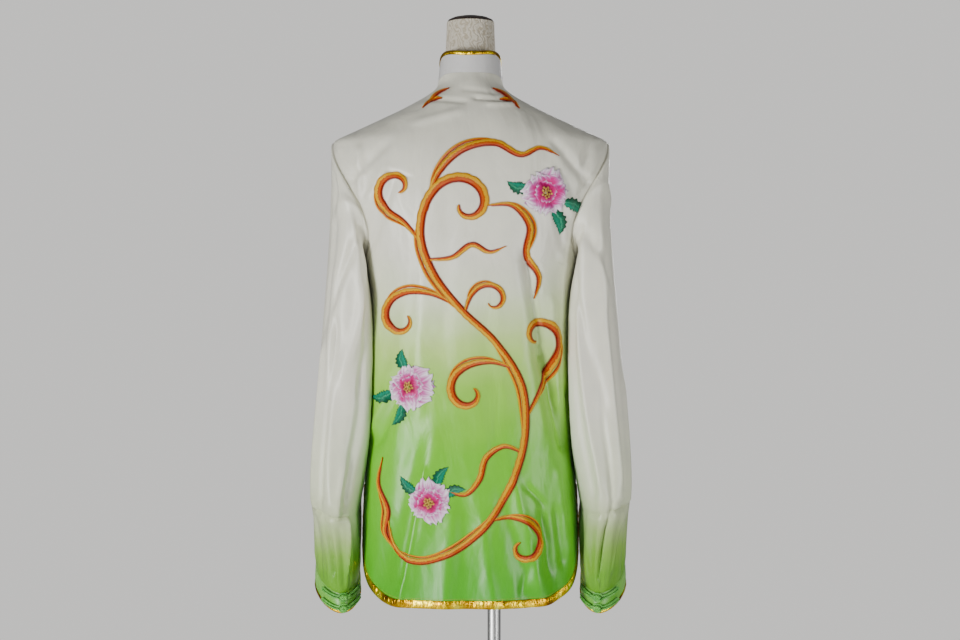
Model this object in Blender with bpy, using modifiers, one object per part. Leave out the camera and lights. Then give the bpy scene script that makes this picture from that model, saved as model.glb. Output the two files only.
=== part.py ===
"""Tai chi jacket with a stand collar, standing on a limbless dress form with a pole stand.

Metres, +Z up, the floor at Z = 0. The wearer's front faces -Y, the wearer's left is +X.
"""

import math

import bmesh
import bpy
import numpy as np

# Cloth and seams.
WALL = 0.0016
SEAM = 0.0003
HALF_SEAM = SEAM / 2
BIND_EXTRA = 0.0004

# Heights of the jacket.
HEM_Z = 0.685
VENT_TOP_Z = 0.840
UNDERARM_Z = 1.1455
TIP_Z = 1.3180
NECK_SIDE_Z = 1.3945
EASE_Z = 1.22
NECK_PULL_Z = 1.26

# Hem: binding width, corner radius and the vent's opening at the hem on each side.
BIND_WIDTH = 0.011
CORNER_R = 0.124
VENT_OPEN = 0.004
LOW_ROWS = (0.0, 0.30, 0.62, 1.0)
LEVELS_TO_UNDERARM = 8
RIDGE_ROWS = 7
STRAIGHT_COLUMNS = 5
CORNER_COLUMNS = 6
# Samples of a level section, and the step in height that its slope is measured over.
ARC_SAMPLES = 241
SLOPE_STEP = 0.002

# Body of the jacket, all round: height, half width, depth of the back, depth of the front.
BODY = np.array([
    (0.660, 0.1500, 0.1220, 0.1280),
    (0.720, 0.1500, 0.1215, 0.1272),
    (0.780, 0.1495, 0.1200, 0.1260),
    (0.850, 0.1470, 0.1180, 0.1245),
    (0.920, 0.1440, 0.1160, 0.1240),
    (1.000, 0.1430, 0.1145, 0.1245),
    (1.080, 0.1420, 0.1170, 0.1285),
    (1.120, 0.1435, 0.1190, 0.1315),
    (1.1455, 0.1490, 0.1205, 0.1330),
    (1.180, 0.1560, 0.1230, 0.1320),
    (1.220, 0.1765, 0.1245, 0.1240),
    (1.250, 0.1925, 0.1230, 0.1130),
    (1.280, 0.2000, 0.1185, 0.0980),
    (1.305, 0.1965, 0.1115, 0.0830),
    (1.318, 0.1890, 0.1060, 0.0755),
    (1.330, 0.1640, 0.1005, 0.0680),
    (1.340, 0.1425, 0.0955, 0.0620),
    (1.350, 0.1213, 0.0900, 0.0580),
    (1.360, 0.1002, 0.0840, 0.0550),
    (1.370, 0.0814, 0.0775, 0.0525),
    (1.380, 0.0640, 0.0705, 0.0500),
    (1.3945, 0.0465, 0.0615, 0.0470),
    (1.409, 0.0460, 0.0520, 0.0470),
    (1.430, 0.0460, 0.0480, 0.0470),
])
BODY_POWER = 2.4

# Neckline and collar top: half width, centre Y, half depth, then height as A + B cos + C cos 2.
NECKLINE = (0.0460, -0.0050, 0.0570, 1.3845, 0.0345, -0.0100)
COLLAR_TOP = (0.0420, -0.0040, 0.0510, 1.4190, 0.0320, -0.0120)
COLLAR_BIND = 0.0055
FRONT_GAP = 0.0004
# Rows of the collar: share of its height, and how far it has turned upright there.
COLLAR_ROWS = ((0.16, 0.6), (0.5, 1.0), (1.0, 1.0))

# Armhole: half depth of its back and its front, and how much lower its widest place lies.
ARMHOLE_BACK = 0.080
ARMHOLE_FRONT = 0.074
ARMHOLE_SAG = 0.10

# Largest folds: face, start x and z, end x and z, height (below zero for a groove), half width.
FOLDS = (
    (1, -0.078, 1.147, -0.100, 1.016, -0.0045, 0.011),
    (1, -0.100, 1.016, -0.124, 0.905, -0.0050, 0.012),
    (1, -0.060, 1.120, -0.082, 0.985, 0.0025, 0.015),
    (1, 0.051, 0.902, 0.094, 0.694, 0.0045, 0.014),
    (1, 0.078, 0.880, 0.121, 0.720, -0.0040, 0.014),
    (1, 0.096, 0.983, 0.126, 0.909, -0.0040, 0.011),
    (1, -0.103, 0.802, -0.120, 0.700, -0.0050, 0.013),
    (1, -0.047, 0.822, -0.080, 0.700, -0.0045, 0.013),
    (1, 0.010, 0.830, 0.004, 0.690, -0.0035, 0.016),
    (-1, 0.076, 0.960, 0.084, 0.690, -0.0050, 0.014),
    (-1, 0.104, 0.900, 0.114, 0.690, 0.0035, 0.015),
    (-1, -0.078, 0.930, -0.080, 0.690, -0.0045, 0.014),
    (-1, -0.100, 0.880, -0.112, 0.690, 0.0035, 0.015),
    (-1, 0.098, 1.160, 0.084, 1.060, -0.0030, 0.014),
    (-1, -0.102, 1.150, -0.086, 1.040, -0.0030, 0.014),
)
FOLD_FADE = 0.035
FOLD_TOP_FADE = 0.06
# A fold runs out past its ends over this many half widths.
FOLD_END = 2.2
# The front stays flat under the frogs.
FROG_ZONE = 0.052
FROG_ZONE_FADE = 0.02

# Sleeve, left: ring, outer x and z, inner x and z, back y, front y, pull-in at the sides,
# fall per metre of y, slant per metre of y, power of the outline.
SLEEVE = np.array([
    (0, 0.1890, 1.3180, 0.1500, 1.1455, 0.080, 0.074, 0.013, 0.00, 0.00, 1.00),
    (1, 0.1912, 1.3090, 0.1545, 1.1520, 0.083, 0.076, 0.012, 0.00, 0.00, 0.98),
    (2, 0.1925, 1.2880, 0.1525, 1.1430, 0.085, 0.078, 0.010, 0.00, 0.00, 0.94),
    (3, 0.1940, 1.2520, 0.1435, 1.1240, 0.086, 0.078, 0.009, 0.00, 0.00, 0.90),
    (4, 0.1958, 1.2100, 0.1350, 1.1000, 0.086, 0.077, 0.006, 0.00, 0.00, 0.85),
    (5, 0.1983, 1.1650, 0.1290, 1.0750, 0.085, 0.076, 0.003, 0.00, 0.00, 0.80),
    (6, 0.2018, 1.1170, 0.1255, 1.0450, 0.084, 0.075, 0.000, 0.00, 0.00, 0.78),
    (7, 0.2058, 1.0700, 0.1240, 1.0120, 0.083, 0.074, 0.000, 0.00, 0.00, 0.78),
    (8, 0.2098, 1.0220, 0.1250, 0.9780, 0.083, 0.073, 0.000, 0.00, 0.00, 0.78),
    (9, 0.2140, 0.9740, 0.1270, 0.9430, 0.084, 0.072, 0.000, 0.00, 0.00, 0.80),
    (10, 0.2180, 0.9260, 0.1310, 0.9060, 0.087, 0.071, 0.000, 0.00, 0.00, 0.82),
    (11, 0.2210, 0.8800, 0.1380, 0.8700, 0.091, 0.070, 0.000, 0.00, 0.00, 0.84),
    (12, 0.2232, 0.8430, 0.1470, 0.8380, 0.094, 0.069, 0.000, -0.05, -0.03, 0.86),
    (13, 0.2228, 0.8200, 0.1525, 0.8180, 0.088, 0.067, 0.000, -0.15, -0.06, 0.90),
    (14, 0.2195, 0.8000, 0.1520, 0.7990, 0.078, 0.064, 0.000, -0.25, -0.08, 0.94),
    (15, 0.2172, 0.7730, 0.1515, 0.7720, 0.068, 0.060, 0.000, -0.38, -0.11, 1.00),
    (16, 0.2165, 0.7470, 0.1525, 0.7460, 0.059, 0.055, 0.000, -0.50, -0.14, 1.06),
    (17, 0.2160, 0.7240, 0.1550, 0.7230, 0.051, 0.049, 0.000, -0.55, -0.17, 1.12),
])
SLEEVE_RINGS = 17
AROUND = 24
ARM_BLEND = 5.0
BODY_CLEAR = 0.0040
PLEAT_START = 12.0
PLEAT_FULL = 15.0
# Uneven pleats of the gathered sleeve: out, in, out, ... round the ring.
PLEATS = (1.9, -2.2, 2.6, -1.4, 1.5, -2.4, 2.2, -1.8, 2.8, -2.2, 1.3, -1.6,
          2.1, -2.6, 1.7, -1.3, 2.4, -2.0, 1.6, -2.3, 2.5, -1.5, 1.8, -2.1)
PLEAT_UNIT = 0.001
PLEAT_CLOSE = 0.6

# Cuff: height of the band and of its binding, and how much wider it is at the bottom.
CUFF_HEIGHT = 0.0225
CUFF_BIND = 0.0048
CUFF_FLARE = 0.03
CUFF_STEPS = (SEAM, CUFF_HEIGHT / 2, CUFF_HEIGHT)

# Frogs: heights, bar length, lift off the cloth, half thickness and half distance of the two
# cords, radius of ring and knot, and where the loop's and the knot's bars start past the ring.
FRONT_FROGS = (1.3120, 1.2270, 1.1420, 1.0570, 0.9720, 0.8870, 0.8020)
BAR_LENGTH = 0.040
FROG_LIFT = 0.0006
KNOT_SIDES = 6
CORD_HALF = 0.0014
CORD_APART = 0.0018
RING_R = 0.0070
RING_POINTS = 9
KNOT_R = 0.0048
LOOP_START = 0.002
KNOT_START = 0.004
CUFF_KNOT_START = 0.003
# The knot in profile: share of its radius along the cord, and share of its radius across.
KNOT_PROFILE = ((0.72, 0.72), (0.0, 1.0), (-0.72, 0.72), (-1.0, 0.2))
CORD_WAIST = 1.3
CUFF_BAR_LENGTH = 0.026
CUFF_FROG_HEIGHTS = (0.0055, 0.0200)
CUFF_CORNER = math.radians(96)
CUFF_RING_R = 0.0052
CUFF_KNOT_R = 0.0037
ROUND_SAMPLES = 720
TANGENT_STEP = 0.004

# Dress form: height, half width, depth of the back, depth of the front.
FORM = np.array([
    (0.742, 0.1300, 0.1060, 0.1050),
    (0.760, 0.1360, 0.1100, 0.1120),
    (0.850, 0.1370, 0.1080, 0.1110),
    (0.920, 0.1320, 0.1020, 0.1060),
    (1.000, 0.1260, 0.0960, 0.1030),
    (1.080, 0.1300, 0.1020, 0.1120),
    (1.145, 0.1370, 0.1100, 0.1220),
    (1.200, 0.1440, 0.1150, 0.1180),
    (1.250, 0.1520, 0.1160, 0.1040),
    (1.285, 0.1600, 0.1120, 0.0900),
    (1.310, 0.1640, 0.1030, 0.0730),
    (1.322, 0.1640, 0.0965, 0.0660),
    (1.330, 0.1586, 0.0915, 0.0605),
    (1.340, 0.1376, 0.0865, 0.0500),
    (1.350, 0.1160, 0.0805, 0.0445),
    (1.360, 0.0880, 0.0745, 0.0390),
    (1.370, 0.0670, 0.0670, 0.0350),
    (1.380, 0.0490, 0.0570, 0.0325),
    (1.390, 0.0400, 0.0460, 0.0310),
    (1.400, 0.0375, 0.0400, 0.0305),
])
FORM_AROUND = 24
FORM_POWER = 2.15

# Neck of the form: height, half width, half depth; it leans forward above its foot.
NECK = np.array([
    (1.4003, 0.0370, 0.0350),
    (1.4300, 0.0358, 0.0348),
    (1.4550, 0.0348, 0.0346),
    (1.4750, 0.0340, 0.0344),
    (1.4900, 0.0335, 0.0342),
])
NECK_LEAN = 0.28
NECK_POWER = 2.0
CAP_TOP_Z = 1.500
CAP_SHARES = (0.0, 0.35, 0.65, 0.88, 0.985)

# Stand: the pole, its round base, the socket that holds it and the flange under the form.
POLE_X = -0.033
POLE_R = 0.0092
BASE_R = 0.190
BASE_HEIGHT = 0.012
BASE_EDGE = 0.006
BASE_EDGE_HEIGHT = 0.005
BASE_FOOT = 0.001
SOCKET_R = 0.022
SOCKET_TOP_Z = 0.060
SOCKET_EDGE = 0.003
SOCKET_EDGE_HEIGHT = 0.004
FLANGE_R = 0.048
FLANGE_LOW_Z = 0.7340
FLANGE_EDGE = 0.004
FLANGE_EDGE_HEIGHT = 0.003
TURN_MERGE = 0.00005

COLOURS = {
    "satin_white": (0.86, 0.85, 0.80, 0.38),
    "satin_fade": (0.62, 0.76, 0.42, 0.38),
    "satin_green": (0.20, 0.52, 0.15, 0.36),
    "gold": (0.80, 0.56, 0.12, 0.30),
    "knot_green": (0.16, 0.50, 0.20, 0.45),
    "cover": (0.80, 0.72, 0.55, 0.80),
    "cap_dark": (0.03, 0.02, 0.015, 0.40),
    "steel": (0.62, 0.62, 0.60, 0.30),
}


def curve(x, table, column):
    """A smooth line through the table's rows at x."""
    xs, ys = table[:, 0], table[:, column]
    slopes = np.gradient(ys, xs)
    i = int(np.clip(np.searchsorted(xs, x) - 1, 0, len(xs) - 2))
    h = xs[i + 1] - xs[i]
    t = min(max((x - xs[i]) / h, 0.0), 1.0)
    t2, t3 = t * t, t * t * t
    return float(
        (2 * t3 - 3 * t2 + 1) * ys[i]
        + (t3 - 2 * t2 + t) * h * slopes[i]
        + (3 * t2 - 2 * t3) * ys[i + 1]
        + (t3 - t2) * h * slopes[i + 1]
    )


def smooth(t):
    t = min(max(t, 0.0), 1.0)
    return t * t * (3 - 2 * t)


def unit(v):
    return v / (np.linalg.norm(v) + 1e-12)


def depth_column(face):
    return 2 if face > 0 else 3


QUARTERS = {}


def quarter(z, face):
    """X, Y and arc length of the body's level section, from the centre line to the side."""
    key = (round(z, 6), face)
    if key not in QUARTERS:
        a = curve(z, BODY, 1)
        b = curve(z, BODY, depth_column(face))
        turn = np.linspace(0, math.pi / 2, ARC_SAMPLES)
        xs = a * np.sin(turn) ** (2 / BODY_POWER)
        ys = b * np.abs(np.cos(turn)) ** (2 / BODY_POWER)
        ys[-1] = 0.0
        steps = np.hypot(np.diff(xs), np.diff(ys))
        QUARTERS[key] = (xs, ys, np.concatenate([[0.0], np.cumsum(steps)]))
    return QUARTERS[key]


def armhole_angle(z):
    middle = (TIP_Z + UNDERARM_Z) / 2
    half = (TIP_Z - UNDERARM_Z) / 2
    return math.acos(min(max((z - middle) / half, -1.0), 1.0))


def armhole_y(z, face):
    turn = armhole_angle(z)
    wide = ARMHOLE_BACK if face > 0 else ARMHOLE_FRONT
    return wide * math.sin(turn) * (1 - ARMHOLE_SAG * math.cos(turn))


def vent_gap(z):
    return HALF_SEAM + VENT_OPEN * max(0.0, (VENT_TOP_Z - z) / (VENT_TOP_Z - HEM_Z)) ** 1.5


def reach(z, face):
    """Arc length from the centre line to the finished edge of the cloth at this height."""
    xs, ys, arc = quarter(z, face)
    if UNDERARM_Z < z < TIP_Z:
        edge = armhole_y(z, face)
        cut = float(np.interp(edge, ys[::-1], arc[::-1]))
        return min(cut, arc[-1] - HALF_SEAM)
    if z <= VENT_TOP_Z:
        return float(arc[-1]) - vent_gap(z)
    return float(arc[-1]) - HALF_SEAM


def fold(x, z, face):
    """How far the largest folds move the cloth outwards at x, z."""
    total = 0.0
    for side, x0, z0, x1, z1, height, width in FOLDS:
        if side != face:
            continue
        dx, dz = x1 - x0, z1 - z0
        length = math.hypot(dx, dz)
        along = ((x - x0) * dx + (z - z0) * dz) / length
        across = ((x - x0) * dz - (z - z0) * dx) / length
        beyond = max(-along, along - length, 0.0) / (FOLD_END * width)
        total += height * math.exp(-((across / width) ** 2) - beyond**2)
    return total


def raw_cloth(z, s, face):
    """Point and outward normal of the jacket's body, s metres of arc from the centre line."""
    xs, ys, arc = quarter(z, face)
    side = -1.0 if s < 0 else 1.0
    x = float(np.interp(abs(s), arc, xs))
    y = float(np.interp(abs(s), arc, ys))
    a, b = xs[-1], ys[0]
    da, db = (
        (curve(z + SLOPE_STEP, BODY, column) - curve(z - SLOPE_STEP, BODY, column)) / (2 * SLOPE_STEP)
        for column in (1, depth_column(face))
    )
    p, q = x / a, y / b
    normal = unit(np.array([
        side * p ** (BODY_POWER - 1) / a,
        face * q ** (BODY_POWER - 1) / b,
        -(p**BODY_POWER) * da / a - (q**BODY_POWER) * db / b,
    ]))
    fade = smooth((arc[-1] - abs(s)) / FOLD_FADE) * smooth((TIP_Z - z) / FOLD_TOP_FADE)
    if face < 0:
        fade *= smooth((abs(x) - FROG_ZONE) / FROG_ZONE_FADE)
    point = np.array([side * x, face * y, z]) + normal * fold(side * x, z, face) * fade
    return point, normal


def loop_point(loop, turn):
    """A point on the neckline or the collar's top; turn 0 is the back, pi the front."""
    wide, middle, deep, a, b, c = loop
    return np.array([
        wide * math.sin(turn),
        middle + deep * math.cos(turn),
        a + b * math.cos(turn) + c * math.cos(2 * turn),
    ])


def neck_turn(w, face):
    return w * math.pi / 2 if face > 0 else math.copysign(math.pi - abs(w) * math.pi / 2, w)


PULLS = {}


def neck_pull(w, face):
    key = (round(w, 6), face)
    if key not in PULLS:
        goal = loop_point(NECKLINE, neck_turn(w, face))
        start, _ = raw_cloth(goal[2], w * reach(goal[2], face), face)
        PULLS[key] = (goal - start, goal[2])
    return PULLS[key]


def cloth(z, s, face, lift=0.0):
    """Point on the jacket's body, lifted off it along its normal, and that normal."""
    point, normal = raw_cloth(z, s, face)
    if z > NECK_PULL_Z:
        w = min(max(s / reach(z, face), -1.0), 1.0)
        pull, top = neck_pull(w, face)
        point = point + pull * min((z - NECK_PULL_Z) / (top - NECK_PULL_Z), 1.0) ** 2
    return point + normal * lift, normal


def row_height(level, w, face):
    """Rows of cloth bend above the chest so that the top one follows the neckline."""
    if UNDERARM_Z < level < TIP_Z:
        even = TIP_Z - (TIP_Z - UNDERARM_Z) * armhole_angle(level) / math.pi
        level = even + (level - even) * w**4
    if level <= EASE_Z:
        return level
    top = loop_point(NECKLINE, neck_turn(w, face))[2]
    return EASE_Z + (level - EASE_Z) * (top - EASE_Z) / (NECK_SIDE_Z - EASE_Z)


def material(name):
    mat = bpy.data.materials.new(name)
    mat.use_nodes = True
    red, green, blue, rough = COLOURS[name.rsplit("__", 1)[-1]]
    shader = mat.node_tree.nodes["Principled BSDF"]
    shader.inputs["Base Color"].default_value = (red, green, blue, 1)
    shader.inputs["Roughness"].default_value = rough
    shader.inputs["Metallic"].default_value = 1.0 if name.endswith("steel") else 0.0
    mat.diffuse_color = (red, green, blue, 1)
    return mat


PARTS = bpy.data.collections.new("tai_chi_jacket_on_form")


def finish(obj, colour):
    for owner in list(obj.users_collection):
        owner.objects.unlink(obj)
    PARTS.objects.link(obj)
    obj.data.materials.clear()
    obj.data.materials.append(material(obj.name + "__" + colour))
    return obj


def solid(name, points, faces, colour):
    mesh = bpy.data.meshes.new(name)
    mesh.from_pydata([tuple(map(float, p)) for p in points], [], faces)
    work = bmesh.new()
    work.from_mesh(mesh)
    bmesh.ops.recalc_face_normals(work, faces=work.faces)
    work.to_mesh(mesh)
    work.free()
    return finish(bpy.data.objects.new(name, mesh), colour)


def wall(name, outer, inner, colour, closed=False):
    """A closed sheet of cloth between two grids of points; closed joins its last column to its first."""
    rows, columns = outer.shape[:2]
    points = np.concatenate([outer.reshape(-1, 3), inner.reshape(-1, 3)])
    shift = rows * columns
    spans = columns if closed else columns - 1
    faces = []
    for r in range(rows - 1):
        for c in range(spans):
            d = (c + 1) % columns
            quad = (r * columns + c, r * columns + d, (r + 1) * columns + d, (r + 1) * columns + c)
            faces.append(quad)
            faces.append(tuple(shift + i for i in reversed(quad)))
    for r in (0, rows - 1):
        for c in range(spans):
            a, b = r * columns + c, r * columns + (c + 1) % columns
            faces.append((a, b, shift + b, shift + a) if r else (b, a, shift + a, shift + b))
    if not closed:
        for c in (0, columns - 1):
            for r in range(rows - 1):
                a, b = r * columns + c, (r + 1) * columns + c
                faces.append((b, a, shift + a, shift + b) if c else (a, b, shift + b, shift + a))
    return solid(name, points, faces, colour)


def stack(name, rings, colour):
    """A solid through closed rings of points, with a flat face at each end."""
    count, around = rings.shape[:2]
    faces = [tuple(range(around)), tuple((count - 1) * around + i for i in reversed(range(around)))]
    for r in range(count - 1):
        for c in range(around):
            d = (c + 1) % around
            faces.append((r * around + d, r * around + c, (r + 1) * around + c, (r + 1) * around + d))
    return solid(name, rings.reshape(-1, 3), faces, colour)


def hem_columns():
    """Columns of a half panel at the hem: even ones, then ones round the corner."""
    straight = [("even", i / STRAIGHT_COLUMNS) for i in range(STRAIGHT_COLUMNS)]
    step = math.radians(90) / (CORNER_COLUMNS - 1)
    return straight + [("turn", i * step) for i in range(CORNER_COLUMNS)]


def hem_spot(kind, value, radius, face):
    """Height and arc length on the line that lies CORNER_R - radius inside the hem's edge."""
    centre_z = HEM_Z + CORNER_R
    if kind == "even":
        z = centre_z - radius
        return z, value * (reach(z, face) - CORNER_R)
    z = centre_z - radius * math.cos(value)
    return z, reach(z, face) - CORNER_R + radius * math.sin(value)


def panel_levels():
    """Heights of the rows above the vents, at the panel's edge."""
    side = list(np.linspace(VENT_TOP_Z + 2 * SEAM, UNDERARM_Z, LEVELS_TO_UNDERARM))
    middle, half = (TIP_Z + UNDERARM_Z) / 2, (TIP_Z - UNDERARM_Z) / 2
    arm = [middle - half * math.cos(math.pi * i / (AROUND // 2)) for i in range(1, AROUND // 2)]
    ridge = list(np.linspace(TIP_Z, NECK_SIDE_Z, RIDGE_ROWS))
    return side + arm + ridge


def half_panel(face, side):
    """Outer points and normals of half a panel, from the centre line out to +X or -X."""
    columns = hem_columns()
    inset = CORNER_R - BIND_WIDTH - SEAM
    top = VENT_TOP_Z + SEAM
    places = []
    for share in LOW_ROWS:
        row = []
        for kind, value in columns:
            z0, _ = hem_spot(kind, value, inset, face)
            z = z0 + (top - z0) * share
            across = 0.0 if kind == "even" else inset * math.sin(value)
            scale = value if kind == "even" else 1.0
            row.append((z, scale * (reach(z, face) - CORNER_R) + across))
        places.append(row)
    edge = reach(top, face)
    shares = [s / edge for _, s in places[-1]]
    shares[-1] = 1.0
    for level in panel_levels():
        row = [(row_height(level, w, face), w) for w in shares]
        places.append([(z, w * reach(z, face)) for z, w in row])
    spots = [[cloth(z, side * s, face) for z, s in row] for row in places]
    points = np.array([[p for p, _ in row] for row in spots])
    normals = np.array([[n for _, n in row] for row in spots])
    return points, normals, [neck_turn(side * w, face) for w in shares]


def make_panels():
    """Sews up the back in one piece and the two fronts; gives the armhole's edge of each half."""
    halves = {(face, side): half_panel(face, side) for face in (1, -1) for side in (1, -1)}
    outer, normal = (
        np.concatenate([halves[1, -1][i][:, :0:-1], halves[1, 1][i]], axis=1) for i in (0, 1)
    )
    wall("back_panel", outer, outer - WALL * normal, "satin_fade")
    for name, side in (("front_left", 1), ("front_right", -1)):
        outer, normal, _ = halves[-1, side]
        outer[:, 0, 0] = side * FRONT_GAP
        normal[:, 0, 0] = 0.0
        wall(name, outer, outer - WALL * normal, "satin_fade")
    return halves


def armhole_ring(halves):
    """The +X armhole: points and normals of the panels' edges, moved out by the seam's gap."""
    low = len(LOW_ROWS) + LEVELS_TO_UNDERARM - 1
    high = low + AROUND // 2
    back_p, back_n = (grid[low:high + 1, -1] for grid in halves[1, 1][:2])
    front_p, front_n = (grid[low:high + 1, -1] for grid in halves[-1, 1][:2])
    points = np.concatenate([back_p[::-1], front_p[1:-1]])
    normals = np.concatenate([back_n[::-1], front_n[1:-1]])
    for end in (0, AROUND // 2):
        points[end, 1] = 0.0
        normals[end, 1] = 0.0
        normals[end] = unit(normals[end])
    return edge_ring(points, normals, closed=True)


def edge_ring(points, normals, closed):
    """Outer and inner points SEAM beyond an edge, across it and in the cloth's surface."""
    if closed:
        along = np.roll(points, -1, axis=0) - np.roll(points, 1, axis=0)
    else:
        along = np.gradient(points, axis=0)
    away = np.cross(along, normals)
    away /= np.linalg.norm(away, axis=1)[:, None]
    return points + SEAM * away, points - WALL * normals + SEAM * away, away


def sleeve_ring(k, turn):
    """A point of the plain sleeve, +X side; turn 0 is outermost, a quarter turn is the back."""
    ox, oz, ix, iz, back, front, pull, fall, slant, power = (
        curve(k, SLEEVE, column) for column in range(1, 11)
    )
    c, s = math.cos(turn), math.sin(turn)
    u = math.copysign(abs(c) ** power, c)
    v = math.copysign(abs(s) ** power, s)
    y = v * (back if s > 0 else front)
    x = (ox + ix) / 2 + u * (ox - ix) / 2 - pull * s * s + slant * y
    z = (oz + iz) / 2 + c * (oz - iz) / 2 + fall * y
    return np.array([x, y, z])


def clear_of_body(point):
    """Moves a sleeve's point out until it clears the side of the body."""
    x, y, z = point
    face = 1 if y > 0 else -1
    if z > UNDERARM_Z and abs(y) < armhole_y(min(z, TIP_Z), face):
        return point
    deep = curve(z, BODY, depth_column(face))
    share = min(abs(y) / deep, 1.0)
    side = curve(z, BODY, 1) * (1 - share**BODY_POWER) ** (1 / BODY_POWER)
    point[0] = max(x, side + BODY_CLEAR)
    return point


def sleeve_grid(arm_points, arm_normals):
    """Outer points and normals of the +X sleeve, from the armhole to the cuff."""
    turns = [2 * math.pi * i / AROUND for i in range(AROUND)]
    plain = np.array([[sleeve_ring(k, t) for t in turns] for k in range(SLEEVE_RINGS + 1)])
    miss = arm_points - plain[0]
    for k in range(SLEEVE_RINGS + 1):
        plain[k] += miss * (1 - smooth(k / ARM_BLEND))
        if k > 0:
            plain[k] = np.array([clear_of_body(p) for p in plain[k]])
    down = np.gradient(plain, axis=0)
    round_ = np.roll(plain, -1, axis=1) - np.roll(plain, 1, axis=1)
    normals = np.cross(round_, down)
    normals /= np.linalg.norm(normals, axis=2)[:, :, None]
    outward = plain - plain.mean(axis=1, keepdims=True)
    middle = SLEEVE_RINGS // 2
    if (normals[middle] * outward[middle]).sum() < 0:
        normals = -normals
    normals[0] = arm_normals
    normals[-1] = level_normals(plain[-1])
    for k in range(1, SLEEVE_RINGS):
        fade = smooth((k - PLEAT_START) / (PLEAT_FULL - PLEAT_START))
        close = 1.0 if k < SLEEVE_RINGS - 1 else PLEAT_CLOSE
        for i, height in enumerate(PLEATS):
            plain[k, i] += normals[k, i] * (height * PLEAT_UNIT * fade * close)
    return plain, normals


def level_normals(ring):
    """Outward level normals of a closed ring."""
    along = np.roll(ring, -1, axis=0) - np.roll(ring, 1, axis=0)
    out = np.stack([along[:, 1], -along[:, 0], np.zeros(len(ring))], axis=1)
    out /= np.linalg.norm(out, axis=1)[:, None]
    if (out * (ring - ring.mean(axis=0))).sum() < 0:
        out = -out
    return out


def cuff_centre():
    """X and Y of the middle of the +X cuff."""
    return np.array([(SLEEVE[-1, 1] + SLEEVE[-1, 3]) / 2, 0.0])


def cuff_point(turn, down):
    """A point of the +X cuff's outer face, down metres below the sleeve's end."""
    point = sleeve_ring(SLEEVE_RINGS, turn)
    centre = cuff_centre()
    point[:2] = centre + (point[:2] - centre) * (1 + CUFF_FLARE * down / CUFF_HEIGHT)
    point[2] -= down
    return point


def make_sleeves(halves):
    outer0, inner0, _ = armhole_ring(halves)
    outer, normals = sleeve_grid(outer0, (outer0 - inner0) / WALL)
    inner = outer - WALL * normals
    turns = [2 * math.pi * i / AROUND for i in range(AROUND)]
    cuff = np.array([[cuff_point(t, d) for t in turns] for d in CUFF_STEPS])
    bind = np.array([[cuff_point(t, CUFF_HEIGHT + d) for t in turns] for d in (SEAM, CUFF_BIND)])
    out = level_normals(cuff[0])
    for name, side in (("left", 1.0), ("right", -1.0)):
        flip = np.array([side, 1.0, 1.0])
        wall("sleeve_" + name, outer * flip, inner * flip, "satin_white", closed=True)
        wall("cuff_" + name, cuff * flip, (cuff - WALL * out) * flip, "satin_green", closed=True)
        wall("cuff_binding_" + name, (bind + BIND_EXTRA * out) * flip,
             (bind - (WALL + BIND_EXTRA) * out) * flip, "gold", closed=True)


def strip(name, inner_line, outer_line, colour):
    """A binding between two lines of (point, normal) on the cloth, a little thicker than it."""
    points = np.array([[p for p, _ in inner_line], [p for p, _ in outer_line]])
    normals = np.array([[n for _, n in inner_line], [n for _, n in outer_line]])
    wall(name, points + BIND_EXTRA * normals, points - (WALL + BIND_EXTRA) * normals, colour)


def hem_line(face, side, radius):
    """The half line round the hem, radius from the corner's centre, up to the vent's top."""
    line = []
    for kind, value in hem_columns():
        z, s = hem_spot(kind, value, radius, face)
        line.append(cloth(z, side * s, face))
    for z in ((HEM_Z + CORNER_R + VENT_TOP_Z) / 2, VENT_TOP_Z):
        line.append(cloth(z, side * (reach(z, face) - CORNER_R + radius), face))
    return line


def make_hem_bindings():
    inside, outside = CORNER_R - BIND_WIDTH, CORNER_R
    lines = {(face, side, r): hem_line(face, side, r)
             for face in (1, -1) for side in (1, -1) for r in (inside, outside)}
    both = [lines[1, -1, r][:0:-1] + lines[1, 1, r] for r in (inside, outside)]
    strip("hem_binding_back", both[0], both[1], "gold")
    for name, side in (("left", 1), ("right", -1)):
        pair = []
        for r in (inside, outside):
            line = lines[-1, side, r]
            point, normal = line[0]
            point, normal = point.copy(), normal.copy()
            point[0], normal[0] = side * FRONT_GAP, 0.0
            pair.append([(point, normal)] + line[1:])
        strip("hem_binding_front_" + name, pair[0], pair[1], "gold")


def neck_edge(halves):
    """The panels' top edge from the right front's centre, round the back, to the left front's."""
    parts = []
    for face, side, step in ((-1, -1, 1), (1, -1, -1), (1, 1, 1), (-1, 1, -1)):
        points, normals, turns = halves[face, side]
        part = list(zip(points[-1], normals[-1], turns))[::step]
        if face < 0:
            part = part[:-1] if step > 0 else part[1:]
        parts += part[1:] if (face, side) == (1, 1) else part
    return (np.array([item[i] for item in parts]) for i in range(3))


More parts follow.
